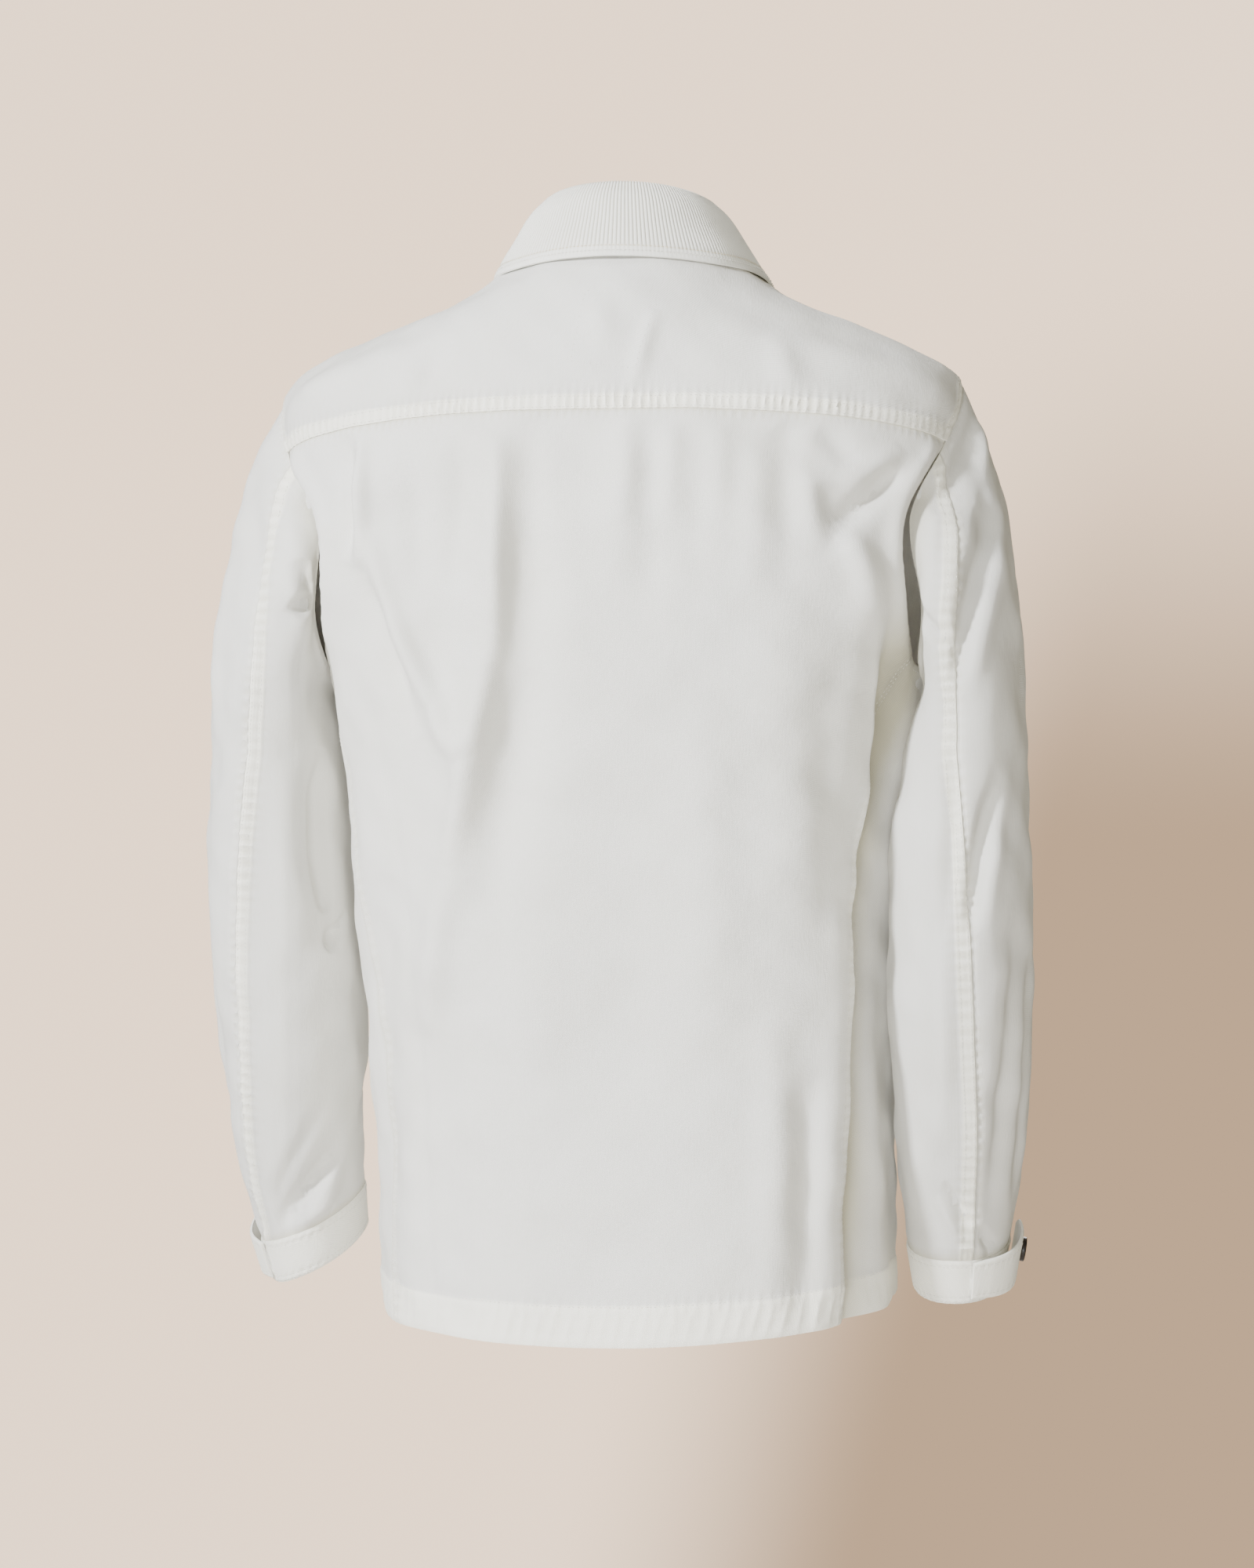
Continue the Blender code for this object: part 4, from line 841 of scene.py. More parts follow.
# %% Crease tables
BODY_CREASES = folds_on(
    BodyFold, "back",
    (0.042, -0.118, 0.044, -0.215, 0.058, -0.370, -0.0046, 0.020),
    (0.067, -0.130, 0.067, -0.210, 0.066, -0.290, 0.0034, 0.009),
    (0.067, -0.262, 0.086, -0.351, 0.105, -0.432, 0.0038, 0.010),
    (0.103, -0.425, 0.112, -0.480, 0.118, -0.540, 0.0032, 0.012),
    (0.048, -0.290, 0.062, -0.375, 0.082, -0.465, -0.0034, 0.018),
    (0.161, -0.194, 0.136, -0.271, 0.086, -0.351, 0.0034, 0.008),
    (0.166, -0.215, 0.145, -0.285, 0.124, -0.335, -0.0036, 0.009),
    (0.115, -0.318, 0.102, -0.337, 0.090, -0.350, 0.0024, 0.008),
    (0.034, -0.122, 0.034, -0.160, 0.031, -0.225, 0.0010, 0.010),
    (0.008, -0.120, 0.009, -0.175, 0.004, -0.262, -0.0010, 0.013),
    (-0.020, -0.120, -0.021, -0.155, -0.019, -0.196, 0.0010, 0.010),
    (-0.036, -0.122, -0.038, -0.180, -0.034, -0.270, -0.0011, 0.012),
    (-0.050, -0.122, -0.050, -0.160, -0.048, -0.201, 0.0011, 0.009),
    (-0.066, -0.124, -0.070, -0.180, -0.068, -0.255, -0.0011, 0.011),
    (-0.083, -0.125, -0.084, -0.160, -0.082, -0.196, 0.0010, 0.009),
    (-0.104, -0.126, -0.107, -0.185, -0.103, -0.246, 0.0013, 0.012),
    (-0.124, -0.128, -0.127, -0.180, -0.129, -0.236, -0.0013, 0.011),
    (-0.134, -0.130, -0.140, -0.165, -0.150, -0.215, 0.0018, 0.009),
    (0.169, -0.126, 0.167, -0.175, 0.168, -0.222, 0.0032, 0.006),
    (0.180, -0.128, 0.176, -0.176, 0.177, -0.214, -0.0034, 0.006),
    (0.128, -0.135, 0.126, -0.190, 0.120, -0.250, -0.0020, 0.012),
    (0.094, -0.130, 0.094, -0.185, 0.098, -0.240, -0.0018, 0.010),
    (-0.196, -0.157, -0.178, -0.177, -0.161, -0.193, -0.0026, 0.006),
    (-0.201, -0.144, -0.181, -0.158, -0.164, -0.172, 0.0018, 0.008),
    (-0.163, -0.198, -0.176, -0.222, -0.184, -0.256, 0.0018, 0.008),
    (-0.154, -0.168, -0.157, -0.190, -0.166, -0.212, -0.0014, 0.010),
    (-0.120, -0.128, -0.136, -0.146, -0.142, -0.168, -0.0016, 0.009),
    (-0.146, -0.132, -0.160, -0.142, -0.168, -0.156, -0.0012, 0.008),
    (-0.150, -0.300, -0.160, -0.400, -0.158, -0.500, -0.0020, 0.014),
    (-0.066, -0.300, -0.078, -0.420, -0.074, -0.560, 0.0016, 0.020),
    (-0.020, -0.360, -0.024, -0.480, -0.018, -0.600, -0.0014, 0.024),
    (0.036, -0.420, 0.040, -0.520, 0.034, -0.640, 0.0014, 0.022),
    (-0.118, -0.520, -0.120, -0.610, -0.116, -0.735, 0.0022, 0.013),
    (-0.140, -0.560, -0.141, -0.640, -0.140, -0.740, -0.0024, 0.010),
    (0.150, -0.430, 0.156, -0.540, 0.152, -0.700, -0.0024, 0.012),
    (0.128, -0.560, 0.130, -0.640, 0.126, -0.740, 0.0018, 0.014),
    (0.006, -0.036, 0.000, -0.060, -0.004, -0.085, 0.0010, 0.010),
    (-0.036, -0.048, -0.029, -0.075, -0.023, -0.107, 0.0014, 0.006),
    (0.110, -0.060, 0.120, -0.085, 0.126, -0.112, -0.0014, 0.010),
    (-0.112, -0.062, -0.124, -0.090, -0.130, -0.114, 0.0014, 0.010)) + folds_on(
    BodyFold, "front",
    (0.172, -0.190, 0.150, -0.235, 0.118, -0.262, -0.0030, 0.009),
    (0.178, -0.220, 0.150, -0.276, 0.110, -0.318, 0.0028, 0.008),
    (0.120, -0.150, 0.112, -0.230, 0.118, -0.330, -0.0022, 0.012),
    (0.066, -0.140, 0.070, -0.220, 0.064, -0.320, 0.0018, 0.012),
    (0.090, -0.400, 0.098, -0.520, 0.090, -0.680, -0.0022, 0.014),
    (0.130, -0.520, 0.134, -0.620, 0.128, -0.735, 0.0022, 0.012),
    (0.040, -0.480, 0.046, -0.580, 0.042, -0.700, -0.0016, 0.012),
    (-0.170, -0.195, -0.148, -0.240, -0.112, -0.270, -0.0030, 0.009),
    (-0.176, -0.225, -0.146, -0.285, -0.108, -0.312, 0.0026, 0.008),
    (-0.124, -0.160, -0.118, -0.240, -0.124, -0.340, -0.0022, 0.012),
    (-0.070, -0.150, -0.072, -0.240, -0.066, -0.350, 0.0018, 0.012),
    (-0.086, -0.420, -0.094, -0.540, -0.088, -0.690, -0.0022, 0.014),
    (-0.132, -0.500, -0.136, -0.610, -0.130, -0.735, 0.0022, 0.012),
    (-0.042, -0.500, -0.048, -0.600, -0.040, -0.715, -0.0016, 0.012))
SLEEVE_CREASES = folds_on(
    SleeveFold, "left",
    (2, -0.212, -8, -0.228, -26, -0.236, -0.0034, 0.0055),
    (-8, -0.206, -16, -0.222, -32, -0.226, 0.0026, 0.0060),
    (-32, -0.242, -18, -0.2450, -4, -0.2420, -0.0036, 0.0045),
    (-62, -0.342, -56, -0.412, -60, -0.488, -0.0034, 0.007),
    (-30, -0.350, -26, -0.420, -30, -0.500, 0.0018, 0.012),
    (-74, -0.446, -60, -0.460, -48, -0.464, 0.0026, 0.006),
    (-76, -0.458, -62, -0.474, -52, -0.484, -0.0028, 0.005),
    (-58, -0.625, -24, -0.655, 16, -0.680, -0.0036, 0.007),
    (-66, -0.634, -34, -0.668, 0, -0.690, 0.0030, 0.006),
    (-47, -0.589, -13, -0.633, 20, -0.668, -0.0016, 0.009),
    (54, -0.147, 31, -0.205, 13, -0.262, -0.0022, 0.008),
    (55, -0.200, 50, -0.270, 46, -0.340, 0.0018, 0.010),
    (70, -0.420, 62, -0.500, 60, -0.580, -0.0022, 0.010),
    (88, -0.300, 96, -0.380, 92, -0.470, 0.0018, 0.014),
    (60, -0.585, 75, -0.610, 95, -0.622, -0.0024, 0.008),
    (100, -0.560, 130, -0.590, 165, -0.600, -0.0030, 0.009),
    (150, -0.440, 178, -0.470, 208, -0.478, -0.0034, 0.008),
    (150, -0.462, 182, -0.490, 210, -0.500, 0.0026, 0.008),
    (160, -0.230, 175, -0.270, 200, -0.296, -0.0028, 0.008),
    (130, -0.250, 146, -0.330, 140, -0.420, 0.0022, 0.012),
    (215, -0.560, 245, -0.590, 280, -0.604, -0.0024, 0.009)) + folds_on(
    SleeveFold, "right",
    (60, -0.108, 42, -0.140, 18, -0.186, -0.0034, 0.006),
    (68, -0.116, 52, -0.150, 30, -0.196, 0.0020, 0.006),
    (54, -0.130, 48, -0.156, 42, -0.180, -0.0020, 0.006),
    (52, -0.176, 22, -0.248, -8, -0.300, -0.0026, 0.007),
    (62, -0.176, 34, -0.250, 4, -0.312, 0.0018, 0.009),
    (34, -0.186, 8, -0.240, -14, -0.286, 0.0014, 0.009),
    (37, -0.360, 17, -0.423, 9, -0.466, -0.0026, 0.008),
    (48, -0.360, 30, -0.424, 20, -0.470, 0.0016, 0.009),
    (54, -0.463, 44, -0.578, 31, -0.667, -0.0016, 0.009),
    (-11, -0.639, 4, -0.655, 17, -0.671, -0.0022, 0.005),
    (-18, -0.650, -4, -0.664, 9, -0.680, 0.0018, 0.005),
    (26, -0.670, 38, -0.683, 54, -0.690, -0.0022, 0.005),
    (82, -0.480, 76, -0.560, 64, -0.660, -0.0026, 0.009),
    (345, -0.330, 350, -0.400, 346, -0.470, -0.0022, 0.009),
    (340, -0.470, 348, -0.540, 344, -0.620, 0.0020, 0.010),
    (-30, -0.240, -15, -0.262, 2, -0.270, -0.0024, 0.007),
    (105, -0.560, 135, -0.588, 170, -0.598, -0.0030, 0.009),
    (150, -0.440, 180, -0.476, 212, -0.486, -0.0034, 0.008),
    (148, -0.466, 182, -0.500, 210, -0.508, 0.0026, 0.008),
    (160, -0.226, 178, -0.268, 204, -0.292, -0.0028, 0.008),
    (126, -0.250, 140, -0.330, 134, -0.420, 0.0022, 0.012),
    (215, -0.570, 245, -0.596, 280, -0.610, -0.0024, 0.009))
print("creases:", len(BODY_CREASES), "on the body,", len(SLEEVE_CREASES), "on the sleeves")

# %% [markdown]
# ## Depth of creases, and the cloth's slight unevenness
#
# A crease is a soft trough or ridge: deepest half way along, gone at its ends. On top, a few
# dozen long, shallow waves in mixed directions keep any stretch from looking machined.

# %% Crease heights
rng = np.random.default_rng(7)
WAVES = [(unit(rng.normal(size=3)) * 2 * np.pi / rng.uniform(0.022, 0.095),
          rng.uniform(0, 2 * np.pi), rng.uniform(0.00014, 0.00038)) for _ in range(26)]
CREASES_DEEPER = 2.30         # how much deeper the creases are cut than their tables say


def unevenness(point):
    """Long shallow waves over the cloth, a few millimetres at most."""
    lift = np.zeros(point.shape[:-1])
    for direction, phase, height in WAVES:
        lift += height * np.sin(point @ direction + phase)
    return lift


def body_creases(point):
    """How far the small creases and waves lift places on the torso."""
    return body_folds(point, BODY_CREASES, CREASES_DEEPER) + unevenness(point)


def sleeve_creases(side, around, point):
    """How far the small creases and waves lift places on a sleeve."""
    return sleeve_folds(side, around, point, SLEEVE_CREASES, CREASES_DEEPER) + unevenness(point)


print("unevenness of up to", round(1000 * sum(wave[2] for wave in WAVES), 1), "mm")

# %% [markdown]
# ## What a seam does to cloth
#
# A jacket seam is lapped: the piece on top ends in a turned edge that stands up a little,
# held down by rows of topstitching a few millimetres in. Each row pulls the cloth into small
# puckers. The piece below dips where it goes under. One row of the table says all that for
# one edge of a piece.

# %% Seams
# edge is where in the grid the seam runs, height how far the turned edge stands up (or
# dips), band how wide the doubled cloth is, pucker and pitch the small waves along it.
Seam = namedtuple("Seam", "edge height band pucker pitch")
SEARCH_REACH = 0.03           # a seam changes nothing further away than this
STITCH_DENT = 0.00045         # how deep a row of topstitching presses the cloth


def both_edges(rows, *facts):
    """The same seam down both side edges of a panel."""
    return Seam(np.s_[rows, 0], *facts), Seam(np.s_[rows, -1], *facts)


def cumulative(points, axis=0):
    """Length along the cloth at each point of a line, or of a grid one way across it."""
    steps = lengths(np.diff(points, axis=axis))
    return np.insert(np.cumsum(steps, axis=axis), 0, 0.0, axis=axis)


def along_line(line, run, marks):
    """The values of a line, whose lengths are in run, at other lengths along it."""
    return np.stack([np.interp(marks, run, line[:, axis]) for axis in range(3)], axis=-1)


def distance_to(points, line):
    """How far each place is from a line, and how far along the line the nearest point is."""
    run = cumulative(line)
    fine = np.linspace(0.0, run[-1], max(int(run[-1] / 0.0012), 8))[::2]
    dense = along_line(line, run, fine)
    ahead = unit(np.gradient(dense, axis=0))
    flat = points.reshape(-1, 3)
    away = np.ones(len(flat))
    where = np.zeros(len(flat))
    low, high = dense.min(axis=0) - SEARCH_REACH, dense.max(axis=0) + SEARCH_REACH
    close = np.nonzero(((flat > low) & (flat < high)).all(axis=-1))[0]
    for chunk in np.array_split(close, max(len(close) // 4000, 1)):
        if len(chunk):
            gaps = ((flat[chunk][:, None, :] - dense[None, :, :]) ** 2).sum(axis=-1)
            nearest = gaps.argmin(axis=-1)
            past = ((flat[chunk] - dense[nearest]) * ahead[nearest]).sum(axis=-1)
            past = np.clip(past, -fine[1], fine[1])
            gap = gaps[np.arange(len(chunk)), nearest]
            away[chunk] = np.sqrt(np.maximum(gap - past ** 2, 0.0))
            where[chunk] = np.clip(fine[nearest] + past, 0.0, run[-1])
    return away.reshape(points.shape[:-1]), where.reshape(points.shape[:-1])


def pucker_wave(along, pitch, seed):
    """Uneven waves along a stitched edge, from -1 to 1, with narrow troughs."""
    waves = along / pitch
    wobble = 0.45 * np.sin(waves * 0.83 + seed) + 0.5 * np.sin(waves * 0.37 + 2 * seed)
    envelope = 0.74 + 0.26 * np.sin(waves * 0.29 + 1.7 * seed)
    return envelope * (1.0 - 1.7 * np.abs(np.sin(np.pi * along / pitch + wobble)) ** 0.8)


def seam_relief(points, seams, seed):
    """How far lapped seams lift each place, how doubled the cloth is there, and how much painted
    shade darkens it.
    """
    lift = np.zeros(points.shape[:-1])
    doubled = np.zeros(points.shape[:-1])
    painted_shade = np.zeros(points.shape[:-1])
    for number, (seam, line) in enumerate(seams):
        away, along = distance_to(points, line)
        inside = fade(away - seam.band, 0.0022)
        turned = ease(away / 0.0009)
        lift += seam.height * (inside * (0.35 + 0.65 * turned) if seam.height > 0
                               else fade(away, 0.0045))
        reach = hill(away, 0.55 * seam.band, 0.9 * seam.band)
        wave = pucker_wave(along, seam.pitch, seed + 1.3 * number)
        lift += seam.pucker * wave * reach
        lift -= STITCH_DENT * hill(away, 0.82 * seam.band, 0.0011) * (seam.height > 0)
        doubled = np.maximum(doubled, inside * np.clip(seam.height / 0.0008, 0.0, 1.0))
        # Painted shade: in the pucker troughs, and along a seam where the piece dips under.
        painted_shade = np.maximum(painted_shade, np.clip(-wave, 0, 1) * reach * (seam.pucker > 0.00025))
        painted_shade = np.maximum(painted_shade, fade(away, 0.0012) * (seam.height <= 0))
    return lift, doubled, painted_shade


print("seam helpers ready")

# %% [markdown]
# ## From a grid to a thin shell
#
# Each piece is a closed shell: a fine outer face that carries the creases, a plainer inner
# face one cloth's thickness behind it, and a rim between them. The inner face needs far
# fewer points, so it keeps one in four each way and the rim's faces join the two. The
# outer points also carry how doubled the cloth is and how much painted shade darkens it, for the
# materials.

# %% Shells
CutSize = namedtuple("CutSize", "width length area")
INNER_SHARE = 4               # one point of the inner face for so many of the outer
PIECES = {}                   # each shell's outer grid and normals, for the stitches


def deselect_all():
    """Leave nothing selected, so that the next operator works on its own object only."""
    for item in bpy.context.selected_objects:
        item.select_set(False)


def whole_steps(rows):
    """The rows up to the last one that the inner face keeps too."""
    return rows[:len(rows) - (len(rows) - 1) % INNER_SHARE]


def grid_index(rows, columns, first=0, closed=False):
    """The numbers of a grid's points; a closed one ends with its first column again."""
    index = first + np.arange(rows * columns).reshape(rows, columns)
    return np.concatenate([index, index[:, :1]], axis=1) if closed else index


def grid_faces(index):
    """The four-sided faces between a grid's points."""
    corners = [index[:-1, :-1], index[:-1, 1:], index[1:, 1:], index[1:, :-1]]
    return np.stack(corners, axis=-1).reshape(-1, 4).tolist()


def rim_faces(fine, coarse, flip):
    """Faces that join each stretch of the outer edge to one step of the inner edge."""
    faces = []
    for number in range(len(coarse) - 1):
        run = fine[number * INNER_SHARE:(number + 1) * INNER_SHARE + 1]
        ring = run.tolist()[::-1] + coarse[number:number + 2].tolist()
        faces.append(ring[::-1] if flip else ring)
    return faces


def write_cut_map(mesh, outer):
    """A UV map in metres, measured along the outer face both ways."""
    across = cumulative(outer, axis=1)
    across -= across[:, across.shape[1] // 2][:, None]
    fine = np.stack([across, -cumulative(outer)], axis=-1)
    coarse = fine[::INNER_SHARE, ::INNER_SHARE]
    both = np.concatenate([fine.reshape(-1, 2), coarse.reshape(-1, 2)])
    layer = mesh.uv_layers.new(name="cut")
    corners = np.empty(len(mesh.loops), dtype=np.int32)
    mesh.loops.foreach_get("vertex_index", corners)
    layer.data.foreach_set("uv", both[corners].ravel())


def add_shell(name, outer, plain, material, attributes, closed=False, smooth_angle=40.0):
    """A closed shell from its outer grid and the grid of its inner face, still as fine."""
    inner = plain[::INNER_SHARE, ::INNER_SHARE]
    first = outer.shape[0] * outer.shape[1]
    fine = grid_index(*outer.shape[:2], closed=closed)
    coarse = grid_index(*inner.shape[:2], first, closed)
    faces = grid_faces(fine) + [face[::-1] for face in grid_faces(coarse)]
    faces += rim_faces(fine[0], coarse[0], False) + rim_faces(fine[-1], coarse[-1], True)
    if not closed:
        faces += rim_faces(fine[:, 0], coarse[:, 0], True)
        faces += rim_faces(fine[:, -1], coarse[:, -1], False)
    points = np.concatenate([outer.reshape(-1, 3), inner.reshape(-1, 3)])
    mesh = bpy.data.meshes.new(name)
    mesh.from_pydata(points.tolist(), [], faces)
    a, b, c = points[faces[0][:3]]
    if np.dot(np.cross(b - a, c - b), outer[0, 0] - inner[0, 0]) < 0:
        mesh.flip_normals()
    write_cut_map(mesh, outer)
    for key, values in attributes.items():
        layer = mesh.attributes.new(key, "FLOAT", "POINT")
        layer.data.foreach_set("value", np.concatenate([values.ravel(),
                                                        np.zeros(len(points) - first)]))
    mesh.shade_smooth()
    mesh.set_sharp_from_angle(angle=math.radians(smooth_angle))
    mesh.materials.append(material)
    return add_object(name, mesh)


def dress(piece, node, grid, normals):
    """Let a cloth piece ride on the body, stand for its node and keep its grid for the stitches."""
    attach(piece, "root")
    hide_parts(node)
    PIECES[node] = grid, normals


print("shell helpers ready")

# %% [markdown]
# ## Fine grids on the torso
#
# The back, the yoke and the fronts meet at the armholes and at their seams. Their grids use
# the same seam places as the solids do, only many more of them, so that the shells meet too.

# %% Torso grids
FINER = 12                    # points on a shell's armhole for each one on the solid's
BACK_ROWS_BELOW = 168
BACK_COLUMNS = 320
YOKE_COLUMNS = 400
OVERHANG = 0.0034             # how far the back's cloth rolls out beside the armhole
TUCK = 0.0075                 # how far the sleeve dives under that roll
SIDE_TUCK = 0.0180            # how far the cloth dives past the fold at the right side
FRONT_ROWS_BELOW = 156
FRONT_COLUMNS = 84            # from the side to the button strip
STRIP_COLUMNS = 24            # over the button strip
FOLD_SHADE = 1.6              # how strongly painted shade darkens the cloth where it dives past the side fold


def fine_stations(start, end):
    """Places round the armhole from one seam to another, at the shells' spacing."""
    places = []
    for stretch in ARMHOLE_STRETCHES:
        places.extend(np.linspace(stretch.start, stretch.end, stretch.steps * FINER + 1)[:-1])
    places = np.array(places + [float(ALL_ROUND)])
    low, high = min(start, end), max(start, end)
    chosen = places[(places > low - 0.01) & (places < high + 0.01)]
    return chosen if start <= end else chosen[::-1]


def arm_edge(start, end):
    """The part of a torso panel's edge that lies on the armhole."""
    return np.stack(armhole_place(fine_stations(start, end)), axis=-1)


def side_edge(count):
    """The side seam below the armhole, evenly down to the hem."""
    down = np.linspace(armhole_place(SIDE_SEAM)[1], 1.0, count + 1)[1:]
    return np.stack([read_table(SIDE_SEAM_LINE, down)[..., 0], down], axis=-1)


def shoulder_edge():
    """The forward shoulder seam, from the neck to the armhole."""
    top_round, top_down = armhole_place(SHOULDER_SEAM)
    down = np.linspace(0.0, top_down, 4 * FINER + 1)[:-1]
    return np.stack([np.full_like(down, top_round), down], axis=-1)


def both_sides_grid(edge, middle, columns):
    """The grid of a panel that is the same on both sides, from its edge and its middle."""
    share = np.linspace(-1.0, 1.0, columns + 1)[None, :]
    end_round, end_down = edge[:, :1], edge[:, 1:]
    around = USUAL_ROUND * share + (end_round - USUAL_ROUND) * np.abs(share) ** 3 * np.sign(share)
    down = middle[:, None] + (end_down - middle[:, None]) * np.abs(share) ** ROW_CURVE
    return around, down


def below_rows(total):
    """Middle heights of the rows that start on the side seam."""
    return UNDER_ARM_DOWN + (1.0 - UNDER_ARM_DOWN) * np.arange(1, total + 1) / total


def torso_shell(node, around, down, seams, seed, finish, sink=0.0):
    """Make a torso piece's shell: creases, lapped seams, then the inner face."""
    base, normal = body(around, down), body_normal(around, down)
    lines = [(seam, base[seam.edge]) for seam in seams]
    relief, doubled, painted_shade = seam_relief(base, lines, seed)
    nearest_rim = lengths(base[::2, ::2, None, :] - ARMHOLE_RIMS).min(axis=-1)
    nearest_rim = np.repeat(np.repeat(nearest_rim, 2, axis=0), 2, axis=1)
    nearest_rim = nearest_rim[:base.shape[0], :base.shape[1]]
    creases = body_creases(base) * ease(nearest_rim / 0.009)
    extra, more_doubled = finish(base, down)
    doubled = np.maximum(doubled, more_doubled)
    outer = base + normal * (creases + relief + extra - sink)[..., None]
    plain = (base + normal * (creases + extra - sink)[..., None]
             - normal * wall_of(down)[..., None])
    if np.ndim(sink):
        # Past the side fold the colour gets painted shade.
        painted_shade = np.maximum(painted_shade, FOLD_SHADE * np.clip((sink - 0.0030) / 0.0090, 0.0, 1.0))
    piece = add_shell(node + "_cloth", outer, plain, twill, {"doubled": doubled, "painted_shade": painted_shade})
    dress(piece, node, outer, normal)


print("armhole places:", len(fine_stations(BACK_SLEEVE_SEAM, ALL_ROUND)))

# %% [markdown]
# ## Back panel
#
# One piece from the yoke to the hem. Its hem is turned up twice and stitched 27 mm above
# the edge. The turned cloth doesn't quite fit the curve, so it ripples upright between the
# stitches and the edge, and a faint line runs along its middle where its own edge lies. Down
# the wearer's right side the cloth turns in under a long fold, as it does on the real one.

# %% Back panel
HEM_STEP = 0.0009             # how far the turned hem stands out
HEM_GROOVE = 0.00060          # how deep its stitches press it
HEM_LINE = 0.00030
HEM_ROLL = 0.0008             # how far its lower edge rolls in


def hem_relief(base, down):
    """The turned-up hem: a slight step, upright ripples and a faint line along its middle."""
    above = (1.0 - down) * BACK_LENGTH
    band = fade(above - HEM_BAND, 0.0014)
    along = cumulative(base, axis=1)
    inside = np.sin(np.pi * np.clip(above / HEM_BAND, 0.0, 1.0)) ** 0.7
    ripples = pucker_wave(along + 0.25 * above, 0.0105, 0.4) * 0.00060
    ripples += pucker_wave(along, 0.0240, 1.9) * 0.00040
    at_stitches = hill(above, HEM_BAND, 0.005) * pucker_wave(along, 0.0068, 2.2) * 0.00050
    groove = -HEM_GROOVE * hill(above, HEM_BAND, 0.0010)
    line = HEM_LINE * hill(above, 0.5 * HEM_BAND, 0.0016)
    rolled = -HEM_ROLL * fade(above, 0.0016)
    lift = band * (HEM_STEP + ripples * inside + line + rolled) + at_stitches + groove
    return lift, band * 0.9


SideFold = namedtuple("SideFold", "below x")
SIDE_FOLD = (                 # where the fold down the right side runs, below the neck
    SideFold(0.188, -0.196),
    SideFold(0.228, -0.187),
    SideFold(0.308, -0.180),
    SideFold(0.417, -0.172),
    SideFold(0.510, -0.172),
    SideFold(0.575, -0.167),
    SideFold(0.631, -0.161),
    SideFold(0.720, -0.159),
)
ROLL_FALL = 0.0030            # how far the roll beside the armhole drops at its edge
SIDE_RIDGE = 0.0024           # how far the fold down the right side stands out


def past_side_fold(base):
    """How far each place is to the right of the fold down the right side."""
    return read_table(SIDE_FOLD, -base[..., 2])[..., 0] - base[..., 0]


def side_present(base):
    """How strongly the fold down the right side shows at each height."""
    below = -base[..., 2]
    return ease((below - 0.215) / 0.11) * (1.0 - 0.45 * ease((below - 0.62) / 0.09))


def side_sink(base):
    """The cloth right of that fold, turned in under it and so in its shade."""
    return SIDE_TUCK * ease(past_side_fold(base) / 0.014) * side_present(base)


def back_relief(base, down):
    """The hem, the soft roll beside each armhole and the fold down the right side."""
    lift, doubled = hem_relief(base, down)
    for column in (-1, 0):
        line = base[2:above, column]
        away, along = distance_to(base, line)
        reach = cumulative(line)[-1]
        present = ease(along / 0.020) * ease((reach - along) / 0.10)
        roll = OVERHANG * hill(away, 0.007, 0.007) - ROLL_FALL * fade(away, 0.0035)
        lift = lift + np.where(away < 0.05, roll * present, 0.0)
    ridge = SIDE_RIDGE * hill(past_side_fold(base), -0.009, 0.009) * side_present(base)
    return lift + np.where(base[..., 1] > 0.0, ridge, 0.0), doubled


def wall_of(down):
    """The shell's thickness behind its seams' relief: one cloth, or more in the hem."""
    above = (1.0 - down) * BACK_LENGTH
    return THIN_WALL + HEM_STEP * fade(above - HEM_BAND, 0.003)


arm = np.concatenate([arm_edge(YOKE_END, BACK_SLEEVE_SEAM), arm_edge(ALL_ROUND, SIDE_SEAM)[1:]])
edge = np.concatenate([arm, side_edge(BACK_ROWS_BELOW - (len(arm) - 1) % INNER_SHARE)])
above = len(arm)
middle = np.concatenate([np.linspace(YOKE_DOWN_CENTRE, UNDER_ARM_DOWN, above),
                         below_rows(len(edge) - above)])
around, down = both_sides_grid(edge, middle, BACK_COLUMNS)
BACK_SEAMS = (
    Seam(np.s_[0, :], -0.0006, 0.004, 0.00030, 0.0058),
    *both_edges(np.s_[:above], -0.0004, 0.003, 0.00016, 0.0090),
    *both_edges(np.s_[above - 1:], 0.0003, 0.0065, 0.00028, 0.0080),
)
torso_shell("back_panel", around, down, BACK_SEAMS, 0.3, back_relief,
            side_sink(body(around, down)))

# %% [markdown]
# ## Back yoke
#
# The yoke covers the shoulders as one piece. Its lower edge is turned under and sewn over
# the back panel with two rows, the upper one about 9 mm above the seam, and between them
# the cloth is drawn into tight puckers, deepest towards the wearer's right.

# %% Back yoke
def yoke_relief(_, down):
    """Only the collar's seam, which presses in at the neck. No more of it is doubled."""
    return -0.0004 * fade(down * BACK_LENGTH, 0.006), np.zeros_like(down)


shoulder, arm = shoulder_edge(), arm_edge(SHOULDER_SEAM, YOKE_END)
edge = np.concatenate([shoulder, arm])
middle = np.linspace(0.0, YOKE_DOWN_CENTRE, len(edge))
around, down = both_sides_grid(edge, middle, YOKE_COLUMNS)
YOKE_SEAMS = (
    Seam(np.s_[-1, :], 0.0011, 0.0092, 0.00115, 0.0059),
    *both_edges(np.s_[:len(shoulder) + 1], 0.0007, 0.0065, 0.00022, 0.0070),
    *both_edges(np.s_[len(shoulder):], 0.0007, 0.0055, 0.00030, 0.0062),
)
torso_shell("yoke", around, down, YOKE_SEAMS, 1.7, yoke_relief)

# %% [markdown]
# ## Fronts and button stand
#
# Each front runs from the shoulder seam to the hem. The left one laps over the right one by
# a little under two centimetres, and a doubled strip down its edge carries the buttons. The
# right front lies deeper there, just as the solids do. At the right side the front turns
# in with the back, under the back's long fold.

